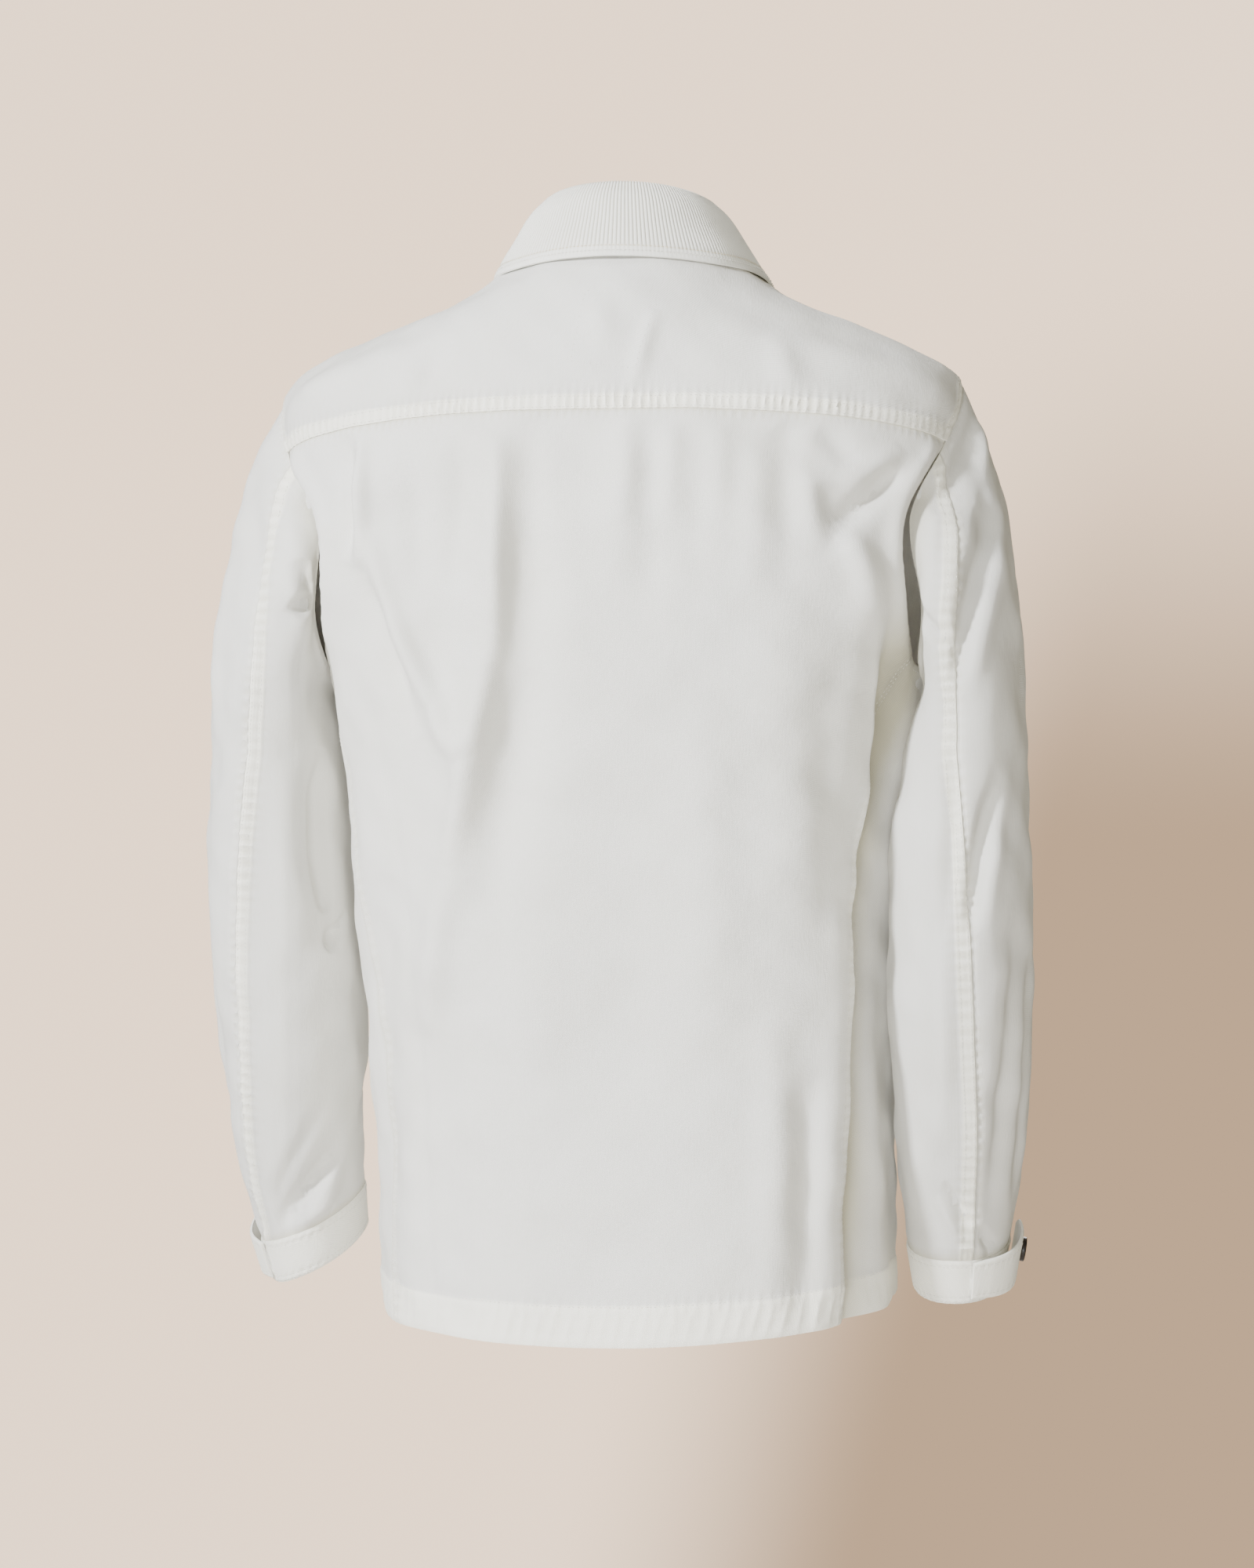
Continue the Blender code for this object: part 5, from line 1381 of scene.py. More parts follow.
# %% Fronts
def front_places():
    """The grid of a front, as the wearer's left one."""
    shoulder, arm = shoulder_edge(), arm_edge(SHOULDER_SEAM, SIDE_SEAM)
    edge = np.concatenate([shoulder, arm, side_edge(FRONT_ROWS_BELOW)])
    above = len(shoulder) + len(arm)
    middle = np.concatenate([np.linspace(0.0, UNDER_ARM_DOWN, above),
                             below_rows(len(edge) - above)])
    lap = np.degrees(FRONT_OVERLAP / read_table(BODY_RINGS, middle)[..., 0])[:, None]
    share = np.linspace(0.0, 1.0, FRONT_COLUMNS + 1)[None, :]
    main = edge[:, :1] + (180.0 - lap - edge[:, :1]) * share
    strip = 180.0 + lap * np.linspace(-1.0, 1.0, STRIP_COLUMNS + 1)[None, 1:]
    around = np.concatenate([main, strip], axis=1)
    reach = (around - around[:, -1:]) / (around[:, :1] - around[:, -1:])
    down = middle[:, None] + (edge[:, 1:] - middle[:, None]) * np.abs(reach) ** ROW_CURVE
    return around, down, len(shoulder), above


around, down, shoulder_rows, above = front_places()
around, down = whole_steps(around), whole_steps(down)
down[-1] = 1.0
FRONT_SEAMS = (
    Seam(np.s_[:shoulder_rows + 1, 0], -0.0006, 0.004, 0.00015, 0.0070),
    Seam(np.s_[shoulder_rows:above, 0], 0.0007, 0.0060, 0.00026, 0.0062),
    Seam(np.s_[above - 1:, 0], -0.0006, 0.004, 0.00022, 0.0080),
)
LAP_SINKS = 7.0               # degrees over which the right front sinks under the left
SIDE_TURNS = 0.050            # how far from the side seam the right front turns in


def right_front_sink(base):
    """How deep the right front lies: under the left one, and turned in at the side."""
    lap_start = around[:, FRONT_COLUMNS:FRONT_COLUMNS + 1]
    lapped = ease((around - lap_start + LAP_SINKS) / LAP_SINKS)
    sink = (WALL + FRONT_STEP) * lapped
    sink = sink + (HEM_WALL - WALL) * ease((down - 0.955) / 0.01) * lapped
    away, _ = distance_to(base, base[above - 1:, 0])
    tuck = SIDE_TUCK * fade(away, SIDE_TURNS) * side_present(base)
    return sink + np.where(away < 0.06, tuck, 0.0)


for side, (sign, _) in SLEEVES.items():
    sink = right_front_sink(body(around * sign, down)) if side == "right" else 0.0
    torso_shell("front_" + side, around * sign, down, FRONT_SEAMS, 2.6 + sign, hem_relief,
                sink)

# %% Button stand
STAND_ROW = 0.80              # where each topstitch row lies, from the middle to the edge
strip_round, strip_down = around[:, FRONT_COLUMNS:], down[:, FRONT_COLUMNS:]
base, normal = body(strip_round, strip_down), body_normal(strip_round, strip_down)
creases = body_creases(base)
across = np.linspace(-1.0, 1.0, strip_round.shape[1])[None, :]
length = cumulative(base[:, strip_round.shape[1] // 2])[:, None] + 0.0 * across
pulled = pucker_wave(length, 0.0085, 0.9) * 0.00016 * hill(np.abs(across), STAND_ROW, 0.25)
edge_roll = -0.0004 * ease((np.abs(across) - 0.93) / 0.07)
dent = 0.00025 * hill(np.abs(across), STAND_ROW, 0.05)
outer = base + normal * (creases + SEAM_GAP + WALL + pulled + edge_roll - dent)[..., None]
plain = base + normal * (creases + SEAM_GAP * 0.5)[..., None]
# Painted shade in the pucker troughs and on the rolled edge.
piece = add_shell("button_stand_cloth", outer, plain, twill,
                  {"doubled": np.full(length.shape, 0.8),
                   "painted_shade": np.clip(-pulled / 0.0003, 0, 1) + edge_roll / -0.0010})
dress(piece, "button_stand", outer, normal)

# %% [markdown]
# ## Sleeves
#
# Each sleeve has an upper panel outside and an under panel beside the body. Down the back of
# the arm the under panel is felled over the upper one: a doubled band about 9 mm wide, sewn
# with two rows and puckered in pairs. That long wobbly line is the sleeve's main feature.

# %% Sleeve panels
SLEEVE_FINE_ROWS = 250
UPPER_COLUMNS = 136
UNDER_COLUMNS = 112
INNER_SWELL = 0.0100          # how far the right sleeve swells towards the body
CAP_SHARE = 0.34              # this part of the rows lies in the sleeve head


def sleeve_grid(side, start, end, count):
    """Ways round and along for a sleeve panel, its columns between the two seams."""
    head_rows = int(SLEEVE_FINE_ROWS * CAP_SHARE)
    head = np.linspace(0.0, 1.0, head_rows + 1) ** 1.15
    rest = np.linspace(1.0, cuff_start(side), SLEEVE_FINE_ROWS - head_rows + 1)[1:]
    along = whole_steps(np.concatenate([head, rest]))
    along[-1] = cuff_start(side)
    columns = np.linspace(start, end, count + 1)
    around = sleeve_places(side, columns, along)
    return around, np.repeat(along[:, None], count + 1, axis=1)


def sleeve_shell(side, node, start, end, count, seams, seed):
    """Make one sleeve panel's shell."""
    around, along = sleeve_grid(side, start, end, count)
    base, normal = sleeve(side, around, along), sleeve_normal(side, around, along)
    relief, doubled, painted_shade = seam_relief(base, [(seam, base[seam.edge]) for seam in seams], seed)
    creases = sleeve_creases(side, around, base) * ease((along - 0.03) / 0.10)
    tuck = sleeve_tuck(side, node, base)
    creases = creases * ease((cuff_start(side) - along) / 0.03) - tuck
    if side == "right":
        creases = creases + inner_swell(around, base)
    outer = base + normal * (creases + relief)[..., None]
    plain = base + normal * creases[..., None] - normal * THIN_WALL
    # Painted shade in the pucker troughs, and where the under sleeve dives beneath the back's roll.
    piece = add_shell(node + "_cloth", outer, plain, twill,
                      {"doubled": doubled, "painted_shade": np.maximum(painted_shade, tuck / TUCK)})
    dress(piece, node, outer, normal)


def inner_swell(around, base):
    """The right sleeve's cloth swells towards the body, where the body's side turns in."""
    turned = (around + 75.0 + 180.0) % 360.0 - 180.0
    below = -base[..., 2]
    present = ease((below - 0.20) / 0.09) * ease((0.64 - below) / 0.15)
    return INNER_SWELL * hill(turned, 0.0, 36.0) * present


def sleeve_tuck(side, node, base):
    """How deep the under sleeve dives beneath the back's roll, beside the armhole."""
    if "under" not in node:
        return 0.0
    stations = np.linspace(ALL_ROUND - 6, SIDE_SEAM + 8, 120)
    place_round, place_down = armhole_place(stations)
    line = plain_body(SLEEVES[side][0] * place_round, place_down)
    away, along = distance_to(base, line)
    present = ease(along / 0.025) * ease((cumulative(line)[-1] - along) / 0.06)
    return np.where(away < 0.06, TUCK * fade(away, 0.022) * present, 0.0)


for side, seed in (("left", 3.1), ("right", 5.3)):
    gathers = 0.00120 if side == "left" else 0.00100
    sleeve_shell(side, "sleeve_upper_" + side, BACK_SLEEVE_SEAM, FRONT_SLEEVE_SEAM, UPPER_COLUMNS, (
        Seam(np.s_[0, :], -0.0007, 0.004, 0.00030, 0.0065),
        Seam(np.s_[:, 0], -0.0007, 0.004, gathers, 0.0085),
        Seam(np.s_[:, -1], -0.0005, 0.004, 0.00020, 0.0090),
        Seam(np.s_[-1, :], -0.0006, 0.003, 0.00034, 0.0078),
    ), seed)
    sleeve_shell(side, "sleeve_under_" + side, FRONT_SLEEVE_SEAM, ALL_ROUND, UNDER_COLUMNS, (
        Seam(np.s_[0, :], -0.0007, 0.004, 0.00026, 0.0065),
        Seam(np.s_[:, 0], 0.0004, 0.0060, 0.00018, 0.0090),
        Seam(np.s_[:, -1], 0.0008, 0.0088, gathers, 0.0085),
        Seam(np.s_[-1, :], -0.0006, 0.003, 0.00030, 0.0078),
    ), seed + 0.9)

# %% [markdown]
# ## Cuffs and cuff tabs
#
# The cuff is a doubled band, stitched near both edges, and its lower edge rolls in softly. The
# tab is sewn to the sleeve at the back seam and wraps outwards to its button. It is stiff,
# so it stands off the sleeve and its upper edge shows as a bright rolled line.

# %% Cuffs
CUFF_ROWS = 41
CUFF_COLUMNS = 192


def cuff_shell(side, seed):
    """The cuff band as a closed ring."""
    columns = np.linspace(BACK_SLEEVE_SEAM, ALL_ROUND, CUFF_COLUMNS + 1)[:-1]
    along = np.linspace(cuff_start(side), 2.0, CUFF_ROWS)
    around = sleeve_places(side, columns, along)
    along = np.repeat(along[:, None], len(columns), axis=1)
    base, normal = sleeve(side, around, along), sleeve_normal(side, around, along)
    share = np.linspace(0.0, 1.0, CUFF_ROWS)[:, None]
    from_edge = np.minimum(share, 1.0 - share)
    length = np.cumsum(lengths(np.diff(base, axis=1, append=base[:, :1])), axis=1)
    pulled = pucker_wave(length, 0.0062, seed) * 0.00030 * hill(from_edge, 0.10, 0.16)
    buckle = 0.0007 * np.sin(length / 0.031 + seed) * np.sin(np.pi * share)
    roll = -0.0009 * fade(from_edge, 0.07)
    dent = 0.00030 * hill(from_edge, 0.14, 0.030)
    outer = base + normal * (CUFF_PROUD + pulled + roll + buckle - dent)[..., None]
    plain = base + normal * (CUFF_PROUD + buckle - CUFF_WALL * 0.85)[..., None]
    # Painted shade in the pucker troughs.
    piece = add_shell("cuff_%s_cloth" % side, outer, plain, twill,
                      {"doubled": np.full(length.shape, 0.75),
                       "painted_shade": np.clip(-pulled / 0.0006, 0, 1)}, closed=True)
    dress(piece, "cuff_" + side, outer, normal)


TabColumn = namedtuple("TabColumn", "turn off drop")
TAB_COLUMNS = (               # degrees past the back seam, clearance, drop of the top edge
    TabColumn(0.0, 0.0004, 0.0100),
    TabColumn(10.0, 0.0016, 0.0085),
    TabColumn(22.0, 0.0044, 0.0070),
    TabColumn(36.0, 0.0066, 0.0050),
    TabColumn(50.0, 0.0068, 0.0025),
    TabColumn(64.0, 0.0058, 0.0005),
    TabColumn(80.0, 0.0046, 0.0000),
    TabColumn(96.0, 0.0042, 0.0000),
)


TAB_GRID = (33, 81)           # rows and columns
TAB_BAND = 0.036              # its usual height and length, for its stitches
TAB_REACH = 0.085
TAB_LOW = 0.004               # its lower edge, above the cuff's
TAB_STITCH = 0.0042           # the topstitch row, from its edge


def tab_places(side, extra):
    """Places over a cuff's tab, a distance out from its under face, its end rounded."""
    rows, columns = TAB_GRID
    table = SLEEVES[side][1]
    per_metre = 1.0 / (table[0].z - table[-1].z)
    turns = np.linspace(TAB_COLUMNS[0].turn, TAB_COLUMNS[-1].turn, columns)
    shape = read_table(TAB_COLUMNS, turns)
    off, drop = shape[..., 0] + CUFF_PROUD + extra, shape[..., 1]
    heights = np.linspace(1.0, 0.0, rows)[:, None]
    above_hem = TAB_LOW + (TAB_HEIGHT - drop - TAB_LOW) * heights
    round_off = fade(turns[-1] - turns, 9.0)
    above_hem = above_hem + round_off ** 2 * 0.0045 * (0.5 - heights) * 2
    around = np.repeat((table[-1].seam + turns)[None, :], rows, axis=0)
    along = 2.0 - above_hem * per_metre
    normal = sleeve_normal(side, around, along)
    return sleeve(side, around, along) + normal * off[:, None], normal


def tab_shell(side, seed):
    """The cuff tab: two cloths and a stiffener, edges rolled, stitched 4 mm in."""
    outer, normal = tab_places(side, TAB_WALL)
    inner, _ = tab_places(side, 0.0002)
    up = np.linspace(0.0, 1.0, TAB_GRID[0])[:, None]
    over = np.linspace(0.0, 1.0, TAB_GRID[1])[None, :]
    margin = np.minimum(np.minimum(up, 1.0 - up) * TAB_BAND, (1.0 - over) * TAB_REACH)
    length = over * TAB_REACH + up * 0.01
    pulled = pucker_wave(length, 0.0058, seed) * 0.00030 * hill(margin, 0.005, 0.0035)
    roll = -0.0010 * fade(margin, 0.0016)
    dent = -0.00028 * hill(margin, TAB_STITCH, 0.0008)
    outer = outer + normal * (pulled + roll + dent)[..., None]
    # Painted shade in the pucker troughs.
    piece = add_shell("cuff_tab_%s_cloth" % side, outer, inner, twill,
                      {"doubled": np.full(outer.shape[:2], 0.8),
                       "painted_shade": np.clip(-pulled / 0.0006, 0, 1)})
    dress(piece, "cuff_tab_" + side, outer, normal)


for side, seed in (("left", 0.8), ("right", 2.4)):
    cuff_shell(side, seed)
    tab_shell(side, seed + 0.5)

# %% [markdown]
# ## Collar
#
# The collar is corduroy, cut so that its ribs run up and down. It stands up behind the neck,
# rolls over and falls to its edge. Two rows of topstitching run round the edge, and between
# them the ribs are pressed nearly flat, so the edge reads as a smooth lip.

# %% Collar line
# The collar's middle line from its sewn foot up the stand, over the roll and down
# the fall: how far outside the neck seam, and how high in parts of the stand.
CollarLine = namedtuple("CollarLine", "out up")
COLLAR_FOOT = CollarLine(-0.0031, -0.06)
COLLAR_STAND = CollarLine(-0.0068, 0.84)
COLLAR_ROLL = CollarLine(-0.0016, 1.00)
COLLAR_TURN = CollarLine(0.0040, 0.86)
STAND_HEIGHT_BACK = 0.0335
STAND_HEIGHT_FRONT = 0.022
SIDE_LEAN = 0.0075            # the stand leans in further at the sides of the neck
COLLAR_END = 157.5            # each end stops this far round from the centre back
FALL_LIFT = 0.0010            # the fall's lower edge clears the cloth under it,
FRONT_FALL_LIFT = 0.0030      # and by this much more over the doubled front
FALL_BOW = 0.0014             # the fall bows out between the roll and its edge
CollarReach = namedtuple("CollarReach", "round down")
COLLAR_REACH = (              # how far down the torso the fall's edge comes
    CollarReach(0.0, 0.034),
    CollarReach(45.0, 0.034),
    CollarReach(90.0, 0.034),
    CollarReach(140.0, 0.072),
    CollarReach(157.5, 0.088),
)


def collar_line(around):
    """The collar's middle line at each way round: points by six places along it."""
    seam = body(around, np.zeros_like(around))
    outward = body_normal(around, np.zeros_like(around))
    outward[..., 2] = 0.0
    outward = unit(outward)
    to_front = ease((np.abs(around) - 95.0) / 75.0)
    stand = STAND_HEIGHT_BACK + (STAND_HEIGHT_FRONT - STAND_HEIGHT_BACK) * to_front
    lean = SIDE_LEAN * np.sin(np.radians(around)) ** 2

    def place(line):
        """One of the collar's named places at each way round."""
        out = line.out - lean * max(line.up, 0.0)
        return (seam + outward * out[..., None]
                + np.array([0.0, 0.0, 1.0]) * (stand * line.up)[..., None])

    reach = read_table(COLLAR_REACH, np.abs(around))[..., 0]
    lift = FALL_LIFT + FRONT_FALL_LIFT * ease((np.abs(around) - 70.0) / 60.0)
    edge = body(around, reach) + body_normal(around, reach) * (lift + COLLAR_WALL / 2)[..., None]
    turn = place(COLLAR_TURN)
    fall = turn * 0.45 + edge * 0.55 + outward * FALL_BOW
    return np.stack([place(COLLAR_FOOT), place(COLLAR_STAND), place(COLLAR_ROLL), turn, fall,
                     edge], axis=0)


print("collar line ready")

# %% Collar
WALE_STEPS = 6                # points across one rib
COLLAR_ROWS = 49
EDGE_ROW_OUT = 0.0078         # the upper topstitch row, from the edge
EDGE_ROW_IN = 0.0033          # and the lower one


def smooth_line(places, count):
    """A smooth curve through a line's places, evenly spaced, for every column at once."""
    knots = cumulative(places)
    mean = (knots / knots[-1:]).mean(axis=1)
    slopes = np.gradient(places, mean, axis=0)
    where = np.linspace(0.0, 1.0, count)
    index = np.clip(np.searchsorted(mean, where) - 1, 0, len(mean) - 2)
    span = (mean[index + 1] - mean[index])[:, None, None]
    t = ((where - mean[index])[:, None, None]) / span
    return curve_between(places[index], slopes[index], places[index + 1], slopes[index + 1],
                         span, t)


column_count = WALE_COUNT * WALE_STEPS + 1
around = np.linspace(-COLLAR_END, COLLAR_END, column_count)
line = smooth_line(collar_line(around), COLLAR_ROWS)
facing = unit(np.cross(np.gradient(line, axis=1), np.gradient(line, axis=0)))
to_start = cumulative(line, axis=1)
to_edge = np.minimum(cumulative(line[::-1])[::-1],
                     np.minimum(to_start, to_start[:, -1:] - to_start))
rib = np.sqrt(np.abs(np.sin(np.pi * np.linspace(0.0, WALE_COUNT, column_count))))
pressed = 0.30 + 0.70 * ease((to_edge - EDGE_ROW_OUT) / 0.0016)
pressed = pressed * (0.25 + 0.75 * ease((to_edge - 0.0012) / 0.0015))
rubbed = 0.75 + 0.25 * np.sin(np.radians(around) * 1.7 + 0.9)
groove = (1.0 - rib) * pressed
sunk = -WALE_HEIGHT * 1.7 * groove * rubbed
stitched = hill(to_edge, EDGE_ROW_OUT, 0.0008) + 0.7 * hill(to_edge, EDGE_ROW_IN, 0.0006)
pulled = pucker_wave(to_start, 0.0061, 0.5) * 0.00020 * hill(to_edge, 0.005, 0.005)
lip = -0.0009 * fade(to_edge, 0.0016)
sag = 0.0006 * np.sin(np.radians(around) * 5.3 + 0.6) * hill(to_edge, 0.014, 0.014)
lift = COLLAR_WALL / 2 + sunk - 0.00030 * stitched + pulled + lip + sag
outer = line + facing * lift[..., None]
plain = line - facing * (COLLAR_WALL / 2 * 0.9 - sag)[..., None]
# The groove attribute carries painted shade between the ribs and along the stitched rows.
piece = add_shell("collar_cloth", outer, plain, corduroy,
                  {"groove": np.clip(groove * rubbed + 0.4 * stitched, 0, 1),
                   "doubled": fade(to_edge - EDGE_ROW_OUT, 0.001)}, smooth_angle=60.0)
dress(piece, "collar", outer, facing)

# %% [markdown]
# ## Stitches
#
# A topstitch is a short loop of thread that dips into the cloth at both ends. One stitch is
# a small four-sided spindle. A row of them follows a seam at a fixed inset, each laid along
# the row and sunk a little into the cloth below it. All the stitches of a piece are joined in
# one mesh.

# %% Stitch tools
STITCH_LENGTH = 0.0023
STITCH_PITCH = 0.0031
STITCH_WANDER = 0.00018       # how far a stitch is out of step with its row
THREAD_RADIUS = 0.00026
STITCH_SIDES = 4
# The rings of a stitch: where along it, how thick and how far out of the cloth, the last
# two in thread radii.
Spindle = namedtuple("Spindle", "along radius sink")
SPINDLE = (Spindle(-0.5, 0.30, -1.1), Spindle(-0.25, 0.95, 0.15), Spindle(0.25, 0.95, 0.15),
           Spindle(0.5, 0.30, -1.1))


def spindle_faces():
    """The faces of one stitch."""
    index = grid_index(len(SPINDLE), STITCH_SIDES)
    sides = grid_faces(grid_index(len(SPINDLE), STITCH_SIDES, closed=True))
    return sides + [index[0].tolist()[::-1], index[-1].tolist()]


def stitch_points(places, directions, normals, length=STITCH_LENGTH, radius=THREAD_RADIUS):
    """The points of many stitches, one for each place."""
    directions = unit(directions - normals * (directions * normals).sum(axis=-1, keepdims=True))
    sideways = np.cross(normals, directions)
    points = []
    for part in SPINDLE:
        for turn in np.arange(STITCH_SIDES) * 2 * np.pi / STITCH_SIDES:
            points.append(places + directions * part.along * length
                          + normals * radius * (part.sink + part.radius * math.sin(turn))
                          + sideways * radius * part.radius * math.cos(turn))
    return np.stack(points, axis=1)


class StitchRow:
    """Gathers the stitches of a piece, then makes them one mesh."""

    def __init__(self, name, thread):
        self.name, self.thread, self.blocks = name, thread, []

    def lay(self, places, normals, pitch=STITCH_PITCH, length=STITCH_LENGTH, seed=0.0):
        """Lay stitches end to end along a line on the cloth."""
        run = cumulative(places)
        count = int(run[-1] / pitch)
        if count < 2:
            return
        marks = (np.arange(count) + 0.5) * run[-1] / count
        marks = marks + STITCH_WANDER * np.sin(np.arange(count) * 2.1 + seed)
        ahead = along_line(places, run, marks + 0.0008)
        behind = along_line(places, run, marks - 0.0008)
        self.blocks.append(stitch_points(along_line(places, run, marks), ahead - behind,
                                         unit(along_line(normals, run, marks)), length))

    def finish(self):
        """Join the stitches in one piece that rides on the body with its cloth."""
        blocks = np.concatenate(self.blocks, axis=0)
        each = len(SPINDLE) * STITCH_SIDES
        one = spindle_faces()
        faces = [[index + start for index in face]
                 for start in range(0, len(blocks) * each, each) for face in one]
        mesh = bpy.data.meshes.new(self.name)
        mesh.from_pydata(blocks.reshape(-1, 3).tolist(), [], faces)
        mesh.shade_smooth()
        mesh.materials.append(self.thread)
        piece = add_object(self.name, mesh)
        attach(piece, "root")
        print(self.name, "stitches:", len(blocks))


def inset_line(node, edge, inset, start=0.0, stop=1.0):
    """A line on a piece's outer face, a distance in from one of its edges."""
    grid, normals = PIECES[node]
    line, up = grid[edge], normals[edge]
    run = cumulative(line)
    fine = np.linspace(start, stop, max(int((stop - start) * run[-1] / 0.0015), 6)) * run[-1]
    line, up = along_line(line, run, fine), unit(along_line(up, run, fine))
    inward = np.cross(up, unit(np.gradient(line, axis=0)))
    middle = grid[grid.shape[0] // 2, grid.shape[1] // 2]
    half = len(line) // 2
    if np.dot(inward[half], middle - line[half]) < 0:
        inward = -inward
    return snap(node, line + inward * inset)


TREES = {}


def tree_of(node):
    """A search tree over a piece's outer face, and 1 or -1 as its faces look out or in."""
    if node not in TREES:
        grid, normals = PIECES[node]
        rows, columns = grid.shape[:2]
        tree = BVHTree.FromPolygons(grid.reshape(-1, 3).tolist(),
                                    grid_faces(grid_index(rows, columns)))
        up = tree.find_nearest(Vector(grid[rows // 2, columns // 2]))[1]
        outward = np.dot(np.array(up), normals[rows // 2, columns // 2]) > 0
        TREES[node] = tree, 1.0 if outward else -1.0
    return TREES[node]


def snap(node, places):
    """The nearest places on a piece's outer face, and the face's normals there."""
    tree, sign = tree_of(node)
    found = [tree.find_nearest(Vector(place))[:2] for place in places]
    spots, ups = zip(*found)
    return np.array(spots), np.array(ups) * sign


print("stitch tools ready")

# %% [markdown]
# ## Rows of topstitching
#
# Each row of the table is one line of stitches: the piece it lies on, the edge that it
# follows, how far in it runs, and which part of the edge it covers.

# %% Stitch rows
Topstitch = namedtuple("Topstitch", "node edge inset start stop")
arm_rows = len(arm_edge(YOKE_END, BACK_SLEEVE_SEAM)) + len(arm_edge(ALL_ROUND, SIDE_SEAM)) - 1
yoke_arm = len(shoulder_edge())
BACK_ROWS = (
    Topstitch("back_panel", np.s_[-1, :], HEM_BAND, 0.0, 1.0),
    *(Topstitch("back_panel", np.s_[arm_rows - 1:, column], inset, 0.01, 0.99)
      for column in (0, -1) for inset in (0.0015, 0.0065)),
)
YOKE_ROWS = (
    Topstitch("yoke", np.s_[-1, :], 0.0016, 0.005, 0.995),
    Topstitch("yoke", np.s_[-1, :], 0.0086, 0.015, 0.985),
    *(Topstitch("yoke", np.s_[yoke_arm:, column], 0.0046, 0.06, 0.97) for column in (0, -1)),
    *(Topstitch("yoke", np.s_[:yoke_arm, column], 0.0050, 0.02, 0.98) for column in (0, -1)),
)


def front_rows(side):
    """The topstitching of one front."""
    node = "front_" + side
    return (
        Topstitch(node, np.s_[yoke_arm:above, 0], 0.0048, 0.04, 0.97),
        Topstitch(node, np.s_[-1, :], HEM_BAND, 0.0, 0.97),
    )


def sleeve_rows(side):
    """The felled seam down the back of one sleeve, and the seam down its front."""
    node = "sleeve_under_" + side
    return (
        Topstitch(node, np.s_[:, -1], 0.0016, 0.01, 0.995),
        Topstitch(node, np.s_[:, -1], 0.0080, 0.02, 0.99),
        Topstitch(node, np.s_[:, 0], 0.0016, 0.02, 0.99),
    )


def sew(name, thread, rows):
    """One mesh of stitches for a few rows."""
    gathered = StitchRow(name, thread)
    for number, row in enumerate(rows):
        places, ups = inset_line(row.node, row.edge, row.inset, row.start, row.stop)
        gathered.lay(places, ups, seed=1.7 * number)
    gathered.finish()


sew("back_topstitching", cream_thread, BACK_ROWS)
sew("yoke_topstitching", cream_thread, YOKE_ROWS)
for side in SLEEVES:
    sew("front_%s_topstitching" % side, cream_thread, front_rows(side))
    sew("sleeve_%s_topstitching" % side, cream_thread, sleeve_rows(side))

# %% Stitches on the cuffs, tabs and button stand
CUFF_STITCH_ROWS = (6, 34, 38)         # rows of the cuff's grid that are topstitched
STAND_STITCH_COLUMN = 2                # and of the button stand's, from either edge


def ring_line(node, row):
    """A line right round one row of a piece's outer grid."""
    grid, normals = PIECES[node]
    return tuple(np.concatenate([part[row], part[row][:1]]) for part in (grid, normals))


def tab_outline(side, inset):
    """The stitched line round a cuff tab, open where the tab is sewn in."""
    grid, normals = PIECES["cuff_tab_" + side]
    rows, columns = TAB_GRID
    up = int(round(inset / TAB_BAND * (rows - 1)))
    over = columns - 1 - int(round(inset / TAB_REACH * (columns - 1)))
    path = [(up, column) for column in range(0, over - 1, 2)]
    path += [(row, over) for row in range(up, rows - up)]
    path += [(rows - 1 - up, column) for column in range(over - 1, 0, -2)]
    return tuple(np.array([part[place] for place in path]) for part in (grid, normals))


for side in SLEEVES:
    gathered = StitchRow("cuff_%s_topstitching" % side, cream_thread)
    for row in CUFF_STITCH_ROWS:
        gathered.lay(*ring_line("cuff_" + side, row), seed=row)
    gathered.lay(*tab_outline(side, TAB_STITCH), pitch=0.0029)
    gathered.finish()

gathered = StitchRow("button_stand_topstitching", cream_thread)
grid, ups = PIECES["button_stand"]
for column in (STAND_STITCH_COLUMN, STRIP_COLUMNS - STAND_STITCH_COLUMN):
    gathered.lay(grid[:, column], ups[:, column], seed=column)
gathered.finish()

# %% [markdown]
# ## Stitches on the collar, and the outline on the yoke
#
# The collar's upper row is sewn with a yellower thread. On the yoke, below the collar, a
# plain four-sided outline of stitches shows where something is sewn to the inside. Only its
# thread shows, with a soft crease running from it.

# %% Collar rows and yoke outline
def collar_row(inset):
    """A line round the collar's edge, a distance in from it, from end to end."""
    grid, ups = PIECES["collar"]
    half, columns = COLLAR_ROWS // 2, grid.shape[1]
    skip = int(np.argmax(to_edge[half] > inset))
    path = [(int(np.abs(to_edge[half:, column] - inset).argmin()) + half, column)
            for column in range(skip, columns - skip)]
    return tuple(np.array([part[place] for place in path]) for part in (grid, ups))


def smoothed(line, width=9):
    """A line with its small steps averaged out."""
    kernel = np.ones(width) / width
    padded = np.concatenate([line[:1].repeat(width // 2, 0), line, line[-1:].repeat(width // 2, 0)])
    return np.stack([np.convolve(padded[:, k], kernel, "valid") for k in range(3)], axis=-1)


for name, thread, inset in (("collar_upper_row", gold_thread, EDGE_ROW_OUT),
                            ("collar_edge_row", cream_thread, EDGE_ROW_IN)):
    line, ups = collar_row(inset)
    gathered = StitchRow(name, thread)
    gathered.lay(smoothed(line) + ups * 0.0002, unit(smoothed(ups)), pitch=0.0028, length=0.0021)
    gathered.finish()

OutlineCorner = namedtuple("OutlineCorner", "x z")
OUTLINE_CORNERS = (OutlineCorner(0.010, -0.031), OutlineCorner(-0.031, -0.035),
                   OutlineCorner(-0.036, -0.043), OutlineCorner(-0.027, -0.077),
                   OutlineCorner(-0.025, -0.089), OutlineCorner(0.020, -0.083),
                   OutlineCorner(0.014, -0.037), OutlineCorner(0.010, -0.031))


